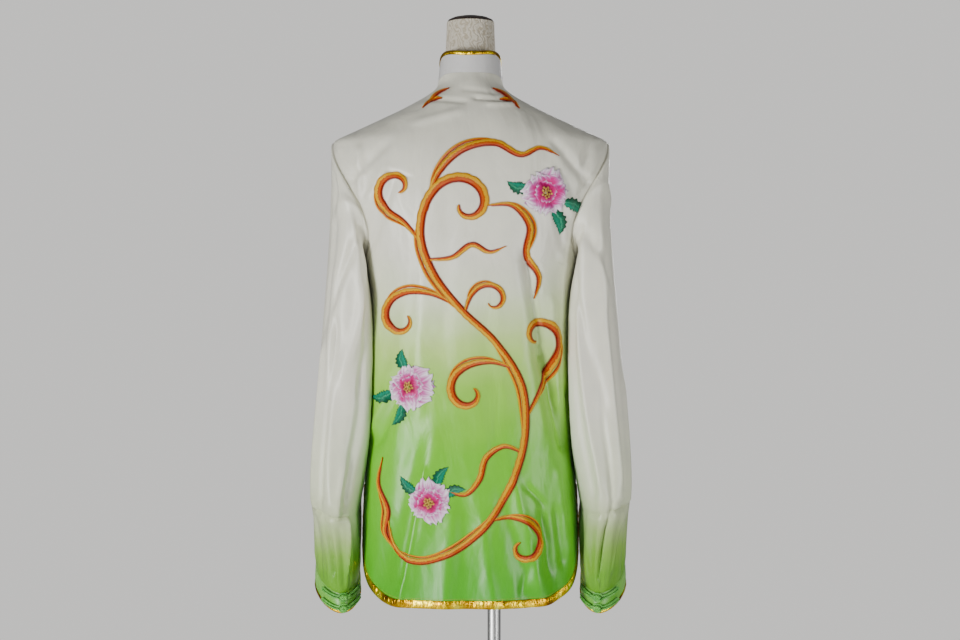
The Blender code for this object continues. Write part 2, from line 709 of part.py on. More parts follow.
def make_collar(halves):
    """The stand collar and the gold strip on its top edge, open at the centre front."""
    edge, edge_n, turns = neck_edge(halves)
    outer0, inner0, away = edge_ring(edge, edge_n, closed=False)
    if away[len(away) // 2][1] > 0:
        outer0, inner0 = outer0 - 2 * SEAM * away, inner0 - 2 * SEAM * away
    top = np.array([loop_point(COLLAR_TOP, turn) for turn in turns])
    top[[0, -1], 0] = outer0[[0, -1], 0]
    rise = top - outer0
    along = np.gradient(outer0, axis=0)
    own = np.cross(along, rise)
    own /= np.linalg.norm(own, axis=1)[:, None]
    if own[len(own) // 2][1] < 0:
        own = -own
    height = np.linalg.norm(rise, axis=1)
    end = 1 - (COLLAR_BIND + SEAM) / height
    outer, inner = [outer0], [inner0]
    for share, blend in COLLAR_ROWS:
        normal = (1 - blend) * edge_n + blend * own
        normal /= np.linalg.norm(normal, axis=1)[:, None]
        row = outer0 + rise * (end * share)[:, None]
        outer.append(row)
        inner.append(row - WALL * normal)
    wall("collar", np.array(outer), np.array(inner), "satin_white")
    low = outer0 + rise * (1 - COLLAR_BIND / height)[:, None]
    strip("collar_binding", list(zip(low, own)), list(zip(top, own)), "gold")


def cord_loop(name, place, start, length, ring):
    """A doubled cord: a bar of two cords whose end opens into a ring round the knot."""
    apart, half = CORD_APART, CORD_HALF
    neck = math.asin(min(apart / ring, 1.0))
    turns = np.linspace(neck, 2 * math.pi - neck, RING_POINTS)
    path = [(start + length * i / 2, apart) for i in (2, 1, 0)]
    path += [(ring * math.cos(a), ring * math.sin(a)) for a in turns]
    path += [(start + length * i / 2, -apart) for i in (0, 1, 2)]
    path.append((start + length + apart, 0.0))
    path = np.array(path)
    along = np.roll(path, -1, axis=0) - np.roll(path, 1, axis=0)
    across = np.stack([along[:, 1], -along[:, 0]], axis=1)
    across /= np.linalg.norm(across, axis=1)[:, None]
    grid = []
    for side, lift in ((1, half), (0, 2 * half), (-1, half), (0, 0.0)):
        spots = path + across * half * side
        grid.append([place(s, up, FROG_LIFT + lift) for s, up in spots])
    points = np.array(grid)
    count, around = points.shape[:2]
    faces = []
    for r in range(count):
        q = (r + 1) % count
        for c in range(around):
            d = (c + 1) % around
            faces.append((r * around + c, r * around + d, q * around + d, q * around + c))
    solid(name, points.reshape(-1, 3), faces, "knot_green")


def cord_knot(name, place, start, length, ring, knot):
    """A bar of cord that rises over the ring and ends in a round knot."""
    low = FROG_LIFT + CORD_HALF
    rise = FROG_LIFT + 3 * CORD_HALF + SEAM
    bar_up = CORD_APART + CORD_HALF
    waist = CORD_HALF * CORD_WAIST
    centre = max(rise, knot + FROG_LIFT)
    stations = [
        (start + length, low, bar_up, CORD_HALF),
        (start + length / 2, low, bar_up, CORD_HALF),
        (start + SEAM, low, bar_up, CORD_HALF),
        (ring + CORD_HALF, rise, waist, CORD_HALF),
        (knot + SEAM, centre, waist, CORD_HALF),
    ]
    stations += [(knot * along, centre, knot * wide, knot * wide) for along, wide in KNOT_PROFILE]
    rings = []
    for s, lift, up, high in stations:
        ring_points = []
        for i in range(KNOT_SIDES):
            turn = 2 * math.pi * (i + 0.5) / KNOT_SIDES
            ring_points.append(place(s, up * math.cos(turn), lift + high * math.sin(turn)))
        rings.append(ring_points)
    stack(name, np.array(rings), "knot_green")


def make_front_frogs():
    for number, height in enumerate(FRONT_FROGS, start=1):
        for side, kind in ((1, "loop"), (-1, "knot")):
            def place(s, up, lift, side=side, height=height):
                if abs(s) < FRONT_GAP:
                    s = math.copysign(FRONT_GAP, s if s else 1.0)
                point, _ = cloth(height + up, side * s, -1, lift)
                return point
            if kind == "loop":
                cord_loop(f"front_loop_{number}", place, RING_R + LOOP_START, BAR_LENGTH, RING_R)
            else:
                cord_knot(f"front_knot_{number}", place, RING_R + KNOT_START, BAR_LENGTH, RING_R,
                          KNOT_R)


def make_cuff_frogs():
    turns = np.linspace(0, 2 * math.pi, ROUND_SAMPLES + 1)
    ring = np.array([cuff_point(turn, 0.0) for turn in turns])
    arc = np.concatenate([[0.0], np.cumsum(np.linalg.norm(np.diff(ring, axis=0), axis=1))])
    corner = float(np.interp(CUFF_CORNER, turns, arc))

    def spot(s, down):
        turn = float(np.interp((corner + s) % arc[-1], arc, turns))
        return cuff_point(turn, down)

    for name, hand in (("left", 1.0), ("right", -1.0)):
        flip = np.array([hand, 1.0, 1.0])
        for number, height in enumerate(CUFF_FROG_HEIGHTS, start=1):
            for side, kind in ((-1, "loop"), (1, "knot")):
                def place(s, up, lift, side=side, height=height, flip=flip):
                    here = spot(side * s, height - up)
                    along = spot(side * s + TANGENT_STEP, 0.0) - spot(side * s - TANGENT_STEP, 0.0)
                    out = unit(np.array([along[1], -along[0], 0.0]))
                    if out[:2] @ (here[:2] - cuff_centre()) < 0:
                        out = -out
                    return (here + out * (lift + BIND_EXTRA)) * flip
                label = f"cuff_{kind}_{name}_{number}"
                if kind == "loop":
                    cord_loop(label, place, CUFF_RING_R + LOOP_START, CUFF_BAR_LENGTH, CUFF_RING_R)
                else:
                    cord_knot(label, place, CUFF_RING_R + CUFF_KNOT_START, CUFF_BAR_LENGTH,
                              CUFF_RING_R, CUFF_KNOT_R)


def oval(z, wide, back, front, middle=0.0, power=FORM_POWER):
    """A closed ring of points at one height, rounder than a box and fuller than an ellipse."""
    ring = []
    for i in range(FORM_AROUND):
        turn = 2 * math.pi * i / FORM_AROUND
        c, s = math.cos(turn), math.sin(turn)
        x = math.copysign(abs(c) ** (2 / power), c) * wide
        y = math.copysign(abs(s) ** (2 / power), s) * (back if s > 0 else front)
        ring.append((x, middle + y, z))
    return ring


def make_form():
    stack("form_torso", np.array([oval(*row) for row in FORM]), "cover")

    def neck_ring(z, wide, deep):
        return oval(z, wide, deep, deep, -NECK_LEAN * (z - NECK[0, 0]), NECK_POWER)

    stack("form_neck", np.array([neck_ring(*row) for row in NECK]), "cover")
    low = NECK[-1, 0] + SEAM
    rings = []
    for share in CAP_SHARES:
        size = math.sqrt(1 - share**2)
        rings.append(neck_ring(low + (CAP_TOP_Z - low) * share, *(NECK[-1, 1:] * size)))
    stack("form_cap", np.array(rings), "cap_dark")


def turned(name, profile, colour, sides, hole=False):
    """A solid turned about the pole's line from radii and heights; a hole leaves it a ring."""
    mesh = bpy.data.meshes.new(name)
    points = [(r, 0.0, z) for r, z in profile]
    if not hole:
        points = [(0.0, 0.0, profile[0][1])] + points + [(0.0, 0.0, profile[-1][1])]
    count = len(points)
    edges = [(i, (i + 1) % count) for i in range(count if hole else count - 1)]
    mesh.from_pydata(points, edges, [])
    obj = finish(bpy.data.objects.new(name, mesh), colour)
    obj.location = (POLE_X, 0.0, 0.0)
    screw = obj.modifiers.new("turn", "SCREW")
    screw.axis = "Z"
    screw.steps = screw.render_steps = sides
    screw.use_merge_vertices = True
    screw.merge_threshold = TURN_MERGE


def make_stand():
    top = FORM[0, 0] - SEAM
    turned("stand_flange", [(FLANGE_R, top), (FLANGE_R, FLANGE_LOW_Z + FLANGE_EDGE_HEIGHT),
                            (FLANGE_R - FLANGE_EDGE, FLANGE_LOW_Z)], "steel", 32)
    turned("stand_pole", [(POLE_R, FLANGE_LOW_Z - SEAM), (POLE_R, BASE_HEIGHT + SEAM)], "steel", 24)
    inside = POLE_R + SEAM
    turned("stand_socket", [(inside, SOCKET_TOP_Z), (SOCKET_R - SOCKET_EDGE, SOCKET_TOP_Z),
                            (SOCKET_R, SOCKET_TOP_Z - SOCKET_EDGE_HEIGHT),
                            (SOCKET_R, BASE_HEIGHT + SEAM), (inside, BASE_HEIGHT + SEAM)],
           "steel", 24, hole=True)
    turned("stand_base", [(BASE_R - BASE_EDGE, BASE_HEIGHT), (BASE_R, BASE_HEIGHT - BASE_EDGE_HEIGHT),
                          (BASE_R, BASE_FOOT), (BASE_R - BASE_FOOT, 0.0)], "steel", 48)


def main():
    for obj in list(bpy.data.objects):
        bpy.data.objects.remove(obj, do_unlink=True)
    bpy.context.scene.collection.children.link(PARTS)
    halves = make_panels()
    make_hem_bindings()
    make_sleeves(halves)
    make_collar(halves)
    make_front_frogs()
    make_cuff_frogs()
    make_form()
    make_stand()


main()
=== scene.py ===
# %% [markdown]
# # A satin tai chi jacket on a dress form
# This lesson dresses the plain solids of a long-sleeved jacket: satin that fades from white to
# green, gold tape on the hem, raised embroidery, gathered sleeves and knotted cord buttons.
# The solids come in as a frame. Each cloth piece is drawn again on the same surface, with
# many more points and finer creases, and then stands in for its solid.

# %% Load the frame
import math

import bmesh
import bpy
import numpy as np
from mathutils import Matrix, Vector


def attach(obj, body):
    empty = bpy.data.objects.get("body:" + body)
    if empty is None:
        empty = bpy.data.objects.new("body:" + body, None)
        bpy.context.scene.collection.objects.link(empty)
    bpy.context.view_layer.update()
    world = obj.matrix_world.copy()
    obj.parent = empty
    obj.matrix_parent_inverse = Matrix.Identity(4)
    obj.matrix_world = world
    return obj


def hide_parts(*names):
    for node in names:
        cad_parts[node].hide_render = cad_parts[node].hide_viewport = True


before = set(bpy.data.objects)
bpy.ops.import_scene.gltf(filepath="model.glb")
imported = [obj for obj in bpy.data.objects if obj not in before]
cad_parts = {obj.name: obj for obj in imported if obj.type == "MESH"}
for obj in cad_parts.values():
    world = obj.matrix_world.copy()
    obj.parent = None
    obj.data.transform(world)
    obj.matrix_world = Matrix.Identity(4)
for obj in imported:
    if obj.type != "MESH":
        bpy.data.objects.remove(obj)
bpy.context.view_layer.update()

# %% [markdown]
# ## Sizes
# All places are in metres. The jacket's front faces -Y and the wearer's left is +X. The tables
# give the body and the sleeve as a few level sections; everything between them is worked out.

# %% Sizes of the jacket
WALL = 0.0016
SEAM = 0.0003
HALF_SEAM = SEAM / 2
BIND_EXTRA = 0.0004
HEM_Z, VENT_TOP_Z, UNDERARM_Z, TIP_Z = 0.685, 0.840, 1.1455, 1.3180
NECK_SIDE_Z, EASE_Z, NECK_PULL_Z = 1.3945, 1.22, 1.26
BIND_WIDTH, CORNER_R, VENT_OPEN = 0.011, 0.124, 0.004
FRONT_GAP = 0.0004
# the back is face 1 and the front face -1; the wearer's left is side 1
FACES, SIDES = (1, -1), (("left", 1), ("right", -1))
MIRROR = {side: np.array([side, 1.0, 1.0]) for _, side in SIDES}

# height, half width, depth of the back, depth of the front
BODY = np.array([
    (0.660, 0.1500, 0.1220, 0.1280), (0.720, 0.1500, 0.1215, 0.1272),
    (0.780, 0.1495, 0.1200, 0.1260), (0.850, 0.1470, 0.1180, 0.1245),
    (0.920, 0.1440, 0.1160, 0.1240), (1.000, 0.1430, 0.1145, 0.1245),
    (1.080, 0.1420, 0.1170, 0.1285), (1.120, 0.1435, 0.1190, 0.1315),
    (1.1455, 0.1490, 0.1205, 0.1330), (1.180, 0.1560, 0.1230, 0.1320),
    (1.220, 0.1765, 0.1245, 0.1240), (1.250, 0.1925, 0.1230, 0.1130),
    (1.280, 0.2000, 0.1185, 0.0980), (1.305, 0.1965, 0.1115, 0.0830),
    (1.318, 0.1890, 0.1060, 0.0755), (1.330, 0.1640, 0.1005, 0.0680),
    (1.340, 0.1425, 0.0955, 0.0620), (1.350, 0.1213, 0.0900, 0.0580),
    (1.360, 0.1002, 0.0840, 0.0550), (1.370, 0.0814, 0.0775, 0.0525),
    (1.380, 0.0640, 0.0705, 0.0500), (1.3945, 0.0465, 0.0615, 0.0470),
    (1.409, 0.0460, 0.0520, 0.0470), (1.430, 0.0460, 0.0480, 0.0470),
])
BODY_POWER = 2.4
# half width, centre y, half depth, then the height as a + b cos + c cos 2
NECKLINE = (0.0460, -0.0050, 0.0570, 1.3845, 0.0345, -0.0100)
COLLAR_TOP = (0.0420, -0.0040, 0.0510, 1.4190, 0.0320, -0.0120)
COLLAR_BIND = 0.0055
ARMHOLE_BACK, ARMHOLE_FRONT, ARMHOLE_SAG = 0.080, 0.074, 0.10
ARM_MIDDLE, ARM_HALF = (TIP_Z + UNDERARM_Z) / 2, (TIP_Z - UNDERARM_Z) / 2

# ring, outer x and z, inner x and z, back y, front y, pull-in, fall, slant, power
SLEEVE = np.array([
    (0, 0.1890, 1.3180, 0.1500, 1.1455, 0.080, 0.074, 0.013, 0.00, 0.00, 1.00),
    (1, 0.1912, 1.3090, 0.1545, 1.1520, 0.083, 0.076, 0.012, 0.00, 0.00, 0.98),
    (2, 0.1925, 1.2880, 0.1525, 1.1430, 0.085, 0.078, 0.010, 0.00, 0.00, 0.94),
    (3, 0.1940, 1.2520, 0.1435, 1.1240, 0.086, 0.078, 0.009, 0.00, 0.00, 0.90),
    (4, 0.1958, 1.2100, 0.1350, 1.1000, 0.086, 0.077, 0.006, 0.00, 0.00, 0.85),
    (5, 0.1983, 1.1650, 0.1290, 1.0750, 0.085, 0.076, 0.003, 0.00, 0.00, 0.80),
    (6, 0.2018, 1.1170, 0.1255, 1.0450, 0.084, 0.075, 0.000, 0.00, 0.00, 0.78),
    (7, 0.2058, 1.0700, 0.1240, 1.0120, 0.083, 0.074, 0.000, 0.00, 0.00, 0.78),
    (8, 0.2098, 1.0220, 0.1250, 0.9780, 0.083, 0.073, 0.000, 0.00, 0.00, 0.78),
    (9, 0.2140, 0.9740, 0.1270, 0.9430, 0.084, 0.072, 0.000, 0.00, 0.00, 0.80),
    (10, 0.2180, 0.9260, 0.1310, 0.9060, 0.087, 0.071, 0.000, 0.00, 0.00, 0.82),
    (11, 0.2210, 0.8800, 0.1380, 0.8700, 0.091, 0.070, 0.000, 0.00, 0.00, 0.84),
    (12, 0.2232, 0.8430, 0.1470, 0.8380, 0.094, 0.069, 0.000, -0.05, -0.03, 0.86),
    (13, 0.2228, 0.8200, 0.1525, 0.8180, 0.088, 0.067, 0.000, -0.15, -0.06, 0.90),
    (14, 0.2195, 0.8000, 0.1520, 0.7990, 0.078, 0.064, 0.000, -0.25, -0.08, 0.94),
    (15, 0.2172, 0.7730, 0.1515, 0.7720, 0.068, 0.060, 0.000, -0.38, -0.11, 1.00),
    (16, 0.2165, 0.7470, 0.1525, 0.7460, 0.059, 0.055, 0.000, -0.50, -0.14, 1.06),
    (17, 0.2160, 0.7240, 0.1550, 0.7230, 0.051, 0.049, 0.000, -0.55, -0.17, 1.12),
])
SLEEVE_RINGS = 17
ARM_BLEND, BODY_CLEAR = 5.0, 0.0040
CUFF_HEIGHT, CUFF_BIND, CUFF_FLARE = 0.0225, 0.0048, 0.03
print(len(BODY), "body sections and", len(SLEEVE), "sleeve rings")

# %% [markdown]
# ## Creases
# Satin falls in long soft folds that never match on two sides, so each one is listed: where it
# starts and ends on the cloth, how high it stands (a minus is a groove) and how wide it is. The
# first rows of the back are the large folds of the solid; the rest are finer.

# %% Folds of the back and the front
# face, start x and z, end x and z, height, half width
FOLDS = (
    (1, -0.078, 1.147, -0.100, 1.016, -0.0045, 0.011),
    (1, -0.100, 1.016, -0.124, 0.905, -0.0050, 0.012),
    (1, -0.060, 1.120, -0.082, 0.985, 0.0025, 0.015),
    (1, 0.051, 0.902, 0.094, 0.694, 0.0045, 0.014),
    (1, 0.078, 0.880, 0.121, 0.720, -0.0040, 0.014),
    (1, 0.096, 0.983, 0.126, 0.909, -0.0040, 0.011),
    (1, -0.103, 0.802, -0.120, 0.700, -0.0050, 0.013),
    (1, -0.047, 0.822, -0.080, 0.700, -0.0045, 0.013),
    (1, 0.010, 0.830, 0.004, 0.690, -0.0035, 0.016),
    (-1, 0.076, 0.960, 0.084, 0.690, -0.0050, 0.014),
    (-1, 0.104, 0.900, 0.114, 0.690, 0.0035, 0.015),
    (-1, -0.078, 0.930, -0.080, 0.690, -0.0045, 0.014),
    (-1, -0.100, 0.880, -0.112, 0.690, 0.0035, 0.015),
    (-1, 0.098, 1.160, 0.084, 1.060, -0.0030, 0.014),
    (-1, -0.102, 1.150, -0.086, 1.040, -0.0030, 0.014),
)
FINE_FOLDS = (
    (1, -0.0777, 1.147, -0.1005, 1.016, -0.0022, 0.0044),
    (1, -0.1005, 1.016, -0.1286, 0.900, -0.0026, 0.0048),
    (1, -0.1340, 0.968, -0.1450, 0.873, -0.0018, 0.0042),
    (1, -0.0860, 1.110, -0.1090, 0.985, 0.0012, 0.0050),
    (1, 0.0607, 0.866, 0.0911, 0.698, 0.0018, 0.0034),
    (1, 0.1058, 0.983, 0.1350, 0.918, 0.0018, 0.0036),
    (1, 0.0960, 0.972, 0.1230, 0.912, -0.0014, 0.0050),
    (1, -0.1000, 0.800, -0.1100, 0.735, -0.0024, 0.0060),
    (1, -0.1190, 0.806, -0.1270, 0.745, -0.0022, 0.0050),
    (1, -0.0800, 0.842, -0.0960, 0.826, -0.0016, 0.0045),
    (1, -0.0700, 0.800, -0.0960, 0.772, 0.0014, 0.0060),
    (1, -0.0880, 0.760, -0.0720, 0.710, -0.0014, 0.0060),
    (1, -0.112, 1.090, -0.121, 0.960, 0.0016, 0.0060),
    (1, 0.104, 1.070, 0.118, 0.985, -0.0014, 0.0060),
    (1, 0.112, 1.000, 0.127, 0.940, 0.0014, 0.0050),
    (1, 0.066, 0.840, 0.088, 0.730, -0.0014, 0.0060),
    (1, 0.022, 0.800, 0.034, 0.700, 0.0012, 0.0110),
    (1, -0.018, 0.790, -0.030, 0.695, 0.0016, 0.0090),
    (1, -0.060, 0.850, -0.092, 0.720, 0.0018, 0.0080),
    (1, -0.120, 0.860, -0.132, 0.760, 0.0016, 0.0060),
    (1, -0.010, 1.371, -0.050, 1.369, -0.0018, 0.0030),
    (1, -0.028, 1.362, -0.058, 1.364, 0.0014, 0.0034),
    (1, 0.006, 1.384, -0.030, 1.380, -0.0012, 0.0034),
    (1, 0.012, 1.366, 0.054, 1.371, -0.0014, 0.0034),
    (1, -0.092, 1.253, -0.118, 1.250, -0.0014, 0.0028),
    (1, -0.088, 1.222, -0.112, 1.226, -0.0012, 0.0028),
    (1, 0.086, 1.262, 0.108, 1.268, -0.0012, 0.0030),
    (1, 0.020, 1.350, 0.066, 1.338, 0.0012, 0.0060),
    (1, 0.120, 1.300, 0.158, 1.262, -0.0022, 0.0060),
    (1, -0.118, 1.304, -0.156, 1.258, -0.0024, 0.0060),
    (1, 0.150, 1.296, 0.148, 1.222, 0.0022, 0.0050),
    (1, -0.158, 1.292, -0.136, 1.190, -0.0026, 0.0070),
    (1, -0.150, 1.262, -0.127, 1.160, 0.0022, 0.0060),
    (1, 0.118, 1.268, 0.146, 1.215, 0.0014, 0.0060),
    (1, -0.114, 1.262, -0.142, 1.205, 0.0014, 0.0060),
    (1, 0.104, 1.250, 0.130, 1.180, -0.0016, 0.0060),
    (1, -0.106, 1.245, -0.128, 1.165, -0.0016, 0.0060),
    (1, 0.030, 1.200, 0.036, 1.020, -0.0009, 0.0130),
    (1, -0.020, 1.060, -0.032, 0.900, -0.0010, 0.0130),
    (1, 0.064, 1.120, 0.070, 0.960, 0.0010, 0.0110),
    (-1, 0.120, 1.250, 0.142, 1.200, -0.0014, 0.0060),
    (-1, -0.118, 1.255, -0.140, 1.196, -0.0014, 0.0060),
    (-1, 0.074, 1.010, 0.066, 0.860, 0.0012, 0.0070),
    (-1, -0.070, 1.000, -0.082, 0.850, 0.0012, 0.0070),
    (-1, 0.092, 0.840, 0.100, 0.710, -0.0014, 0.0060),
    (-1, -0.094, 0.820, -0.098, 0.700, -0.0014, 0.0060),
)
FOLD_END, FOLD_FADE, FOLD_TOP_FADE = 2.2, 0.035, 0.06
FINE_GAIN, FINE_EDGE_FADE, FINE_TOP_Z, FINE_TOP_FADE = 1.9, 0.012, 1.400, 0.030
SEAM_DIP, SEAM_DIP_WIDTH, DIP_START, DIP_END = 0.0018, 0.0036, 0.012, 0.006
FROG_ZONE, FROG_ZONE_FADE = 0.052, 0.02
print(len(FOLDS) + len(FINE_FOLDS), "folds on the body")

# %% [markdown]
# ## The surface of the body
# Every piece on the body is placed by one function: height and arc length from the centre line
# in, point and outward normal out. Panels, tape and embroidery then can't drift apart. It works
# on whole arrays at once, because a plain loop over this many points would take minutes.

# %% Curves through the tables
def curve(x, table, column):
    xs, ys = table[:, 0], table[:, column]
    slopes = np.gradient(ys, xs)
    x = np.clip(np.asarray(x, float), xs[0], xs[-1])
    i = np.clip(np.searchsorted(xs, x) - 1, 0, len(xs) - 2)
    h = xs[i + 1] - xs[i]
    t = (x - xs[i]) / h
    t2, t3 = t * t, t * t * t
    return ((2 * t3 - 3 * t2 + 1) * ys[i] + (t3 - 2 * t2 + t) * h * slopes[i]
            + (3 * t2 - 2 * t3) * ys[i + 1] + (t3 - t2) * h * slopes[i + 1])


def smooth(t):
    t = np.clip(t, 0.0, 1.0)
    return t * t * (3 - 2 * t)


def arc_length(points):
    """The distance run along a line of points, at each of them."""
    return np.concatenate([[0.0], np.cumsum(np.linalg.norm(np.diff(points, axis=0), axis=1))])


def unit(v):
    return v / (np.linalg.norm(v, axis=-1, keepdims=True) + 1e-12)


TURN = np.linspace(0, math.pi / 2, 161)
SIN_SHARE = np.sin(TURN) ** (2 / BODY_POWER)
COS_SHARE = np.abs(np.cos(TURN)) ** (2 / BODY_POWER)
COS_SHARE[-1] = 0.0


def depth_column(face):
    return 2 if face > 0 else 3


def section(z, face):
    """Half width, depth, and x, y and arc length along the level quarter at each z."""
    a, b = curve(z, BODY, 1), curve(z, BODY, depth_column(face))
    xs, ys = a[:, None] * SIN_SHARE, b[:, None] * COS_SHARE
    steps = np.hypot(np.diff(xs, axis=1), np.diff(ys, axis=1))
    arc = np.concatenate([np.zeros((len(z), 1)), np.cumsum(steps, axis=1)], axis=1)
    return a, b, xs, ys, arc


def between(value, keys, *columns):
    """Row by row linear interpolation: value into keys, giving each of columns."""
    i = np.clip((keys < value[:, None]).sum(axis=1) - 1, 0, keys.shape[1] - 2)
    rows = np.arange(len(value))
    low, high = keys[rows, i], keys[rows, i + 1]
    t = np.clip((value - low) / np.maximum(high - low, 1e-12), 0.0, 1.0)
    return [c[rows, i] * (1 - t) + c[rows, i + 1] * t for c in columns]


# %% The armhole, the vents and how far the cloth reaches
def armhole_angle(z):
    return np.arccos(np.clip((z - ARM_MIDDLE) / ARM_HALF, -1.0, 1.0))


def armhole_y(z, face):
    turn = armhole_angle(z)
    wide = ARMHOLE_BACK if face > 0 else ARMHOLE_FRONT
    return wide * np.sin(turn) * (1 - ARMHOLE_SAG * np.cos(turn))


def reach(z, face):
    """Arc length from the centre line to the finished edge of the cloth."""
    z = np.atleast_1d(np.asarray(z, float))
    _, _, _, ys, arc = section(z, face)
    full = arc[:, -1]
    cut = between(-armhole_y(z, face), -ys, arc)[0]
    vent = VENT_OPEN * np.clip((VENT_TOP_Z - z) / (VENT_TOP_Z - HEM_Z), 0, 1) ** 1.5
    at_arm = (z > UNDERARM_Z) & (z < TIP_Z)
    return np.where(at_arm, np.minimum(cut, full - HALF_SEAM), full - HALF_SEAM - vent)


def ridge(px, pz, dx, dz, height, width):
    """Height at (px, pz) of a rounded ridge from (0, 0) to (dx, dz), with soft ends."""
    length = math.hypot(dx, dz)
    along, across = (px * dx + pz * dz) / length, (px * dz - pz * dx) / length
    beyond = np.maximum(np.maximum(-along, along - length), 0.0) / (FOLD_END * width)
    return height * np.exp(-((across / width) ** 2) - beyond**2)


def fold_height(rows, x, z, face):
    return sum(ridge(x - x0, z - z0, x1 - x0, z1 - z0, height, width)
               for on_face, x0, z0, x1, z1, height, width in rows if on_face == face)


# %% The cloth of the body
SLOPE_STEP = 0.002


def raw_cloth(z, s, face):
    """Points and outward normals of the folded cloth, before the neckline pulls it in."""
    a, b, xs, ys, arc = section(z, face)
    side = np.where(s < 0, -1.0, 1.0)
    x, y = between(np.abs(s), arc, xs, ys)
    step, column = SLOPE_STEP, depth_column(face)
    da = (curve(z + step, BODY, 1) - curve(z - step, BODY, 1)) / (2 * step)
    db = (curve(z + step, BODY, column) - curve(z - step, BODY, column)) / (2 * step)
    p, q = x / a, y / b
    normal = unit(np.stack([
        side * p ** (BODY_POWER - 1) / a,
        face * q ** (BODY_POWER - 1) / b,
        -(p**BODY_POWER) * da / a - (q**BODY_POWER) * db / b,
    ], axis=-1))
    edge = arc[:, -1] - np.abs(s)
    near_arm = np.maximum(reach(z, face) - np.abs(s), 0.0)
    near = np.minimum(edge, near_arm)
    large = fold_height(FOLDS, side * x, z, face)
    large *= smooth(edge / FOLD_FADE) * smooth((TIP_Z - z) / FOLD_TOP_FADE)
    fine = FINE_GAIN * fold_height(FINE_FOLDS, side * x, z, face)
    fine *= smooth(near / FINE_EDGE_FADE) * smooth((FINE_TOP_Z - z) / FINE_TOP_FADE)
    flat = smooth((x - FROG_ZONE) / FROG_ZONE_FADE) if face < 0 else 1.0
    set_in = smooth((z - UNDERARM_Z) / DIP_START) * smooth((TIP_Z - z) / DIP_END)
    dip = SEAM_DIP * np.exp(-((near_arm / SEAM_DIP_WIDTH) ** 2)) * set_in
    height = ((large + fine) * flat - dip)[:, None]
    return np.stack([side * x, face * y, z], axis=-1) + normal * height, normal


# %% The neckline and the finished surface
def loop_point(loop, turn):
    """Points of the neckline or the collar's top at turns from the centre of the back."""
    wide, middle, deep, a, b, c = loop
    turn = np.asarray(turn, float)
    return np.stack([wide * np.sin(turn), middle + deep * np.cos(turn),
                     a + b * np.cos(turn) + c * np.cos(2 * turn)], axis=-1)


def neck_turn(w, face):
    w = np.asarray(w, float)
    return w * math.pi / 2 if face > 0 else np.copysign(math.pi - np.abs(w) * math.pi / 2, w)


PULL_W = np.linspace(-1, 1, 161)
PULLS = {}
for face in FACES:
    goals = loop_point(NECKLINE, neck_turn(PULL_W, face))
    starts, _ = raw_cloth(goals[:, 2], PULL_W * reach(goals[:, 2], face), face)
    PULLS[face] = np.concatenate([goals - starts, goals[:, 2:]], axis=1)


def cloth(z, s, face, lift=0.0):
    """Points of the jacket's body lifted along their normals, and those normals."""
    z, s = (v.ravel() for v in np.broadcast_arrays(np.asarray(z, float), np.asarray(s, float)))
    point, normal = raw_cloth(z, s, face)
    w = np.clip(s / reach(z, face), -1, 1)
    pull = np.stack([np.interp(w, PULL_W, PULLS[face][:, i]) for i in range(4)], axis=-1)
    share = np.clip((z - NECK_PULL_Z) / (pull[:, 3] - NECK_PULL_Z), 0, 1) ** 2
    point = point + pull[:, :3] * share[:, None]
    return point + normal * np.asarray(lift).reshape(-1, 1), normal


def row_height(level, w, face):
    """Rows bend above the chest so that the top one follows the neckline."""
    w = np.abs(np.asarray(w, float))
    z = np.full_like(w, level)
    if UNDERARM_Z < level < TIP_Z:
        even = TIP_Z - (TIP_Z - UNDERARM_Z) * float(armhole_angle(level)) / math.pi
        z = even + (level - even) * w**4
    top = loop_point(NECKLINE, neck_turn(w, face))[:, 2]
    high = EASE_Z + (z - EASE_Z) * (top - EASE_Z) / (NECK_SIDE_Z - EASE_Z)
    return np.where(z > EASE_Z, high, z)


test_point, test_normal = cloth(1.0, 0.0, 1)
print("centre of the back at 1 m:", test_point.round(4), test_normal.round(2))

# %% [markdown]
# ## Making a closed sheet
# Cloth has two sides. A grid of outer points and a grid of inner points, joined round the rim,
# make one closed shell that can be cut, weighed or printed. Its UV map is in metres along and
# across the cloth, so a weave keeps its true scale wherever the sheet bends.

# %% Meshes from grids
SHARP = math.radians(50)


def mesh_object(name, points, faces, paint, corner_uv, sharp=None):
    mesh = bpy.data.meshes.new(name)
    mesh.from_pydata(points.tolist(), [], faces)
    layer = mesh.uv_layers.new(name="cloth")
    layer.data.foreach_set("uv", np.asarray(corner_uv, np.float32).ravel())
    work = bmesh.new()
    work.from_mesh(mesh)
    bmesh.ops.recalc_face_normals(work, faces=work.faces)
    work.to_mesh(mesh)
    work.free()
    mesh.shade_smooth()
    if sharp:
        mesh.set_sharp_from_angle(angle=sharp)
    mesh.materials.append(paint)
    obj = bpy.data.objects.new(name, mesh)
    bpy.context.scene.collection.objects.link(obj)
    return obj


def grid_uv(points, closed=False):
    """Metres along the columns and along the rows of a grid, for its UV map."""
    if closed:
        points = np.concatenate([points, points[:, :1]], axis=1)
    across = np.linalg.norm(np.diff(points, axis=1), axis=2)
    down = np.linalg.norm(np.diff(points, axis=0), axis=2)
    u = np.concatenate([np.zeros((len(points), 1)), np.cumsum(across, axis=1)], axis=1)
    u -= u[:, -1:] / 2
    v = np.concatenate([np.zeros((1, points.shape[1])), np.cumsum(down, axis=0)], axis=0)
    return np.stack([u, v], axis=-1)


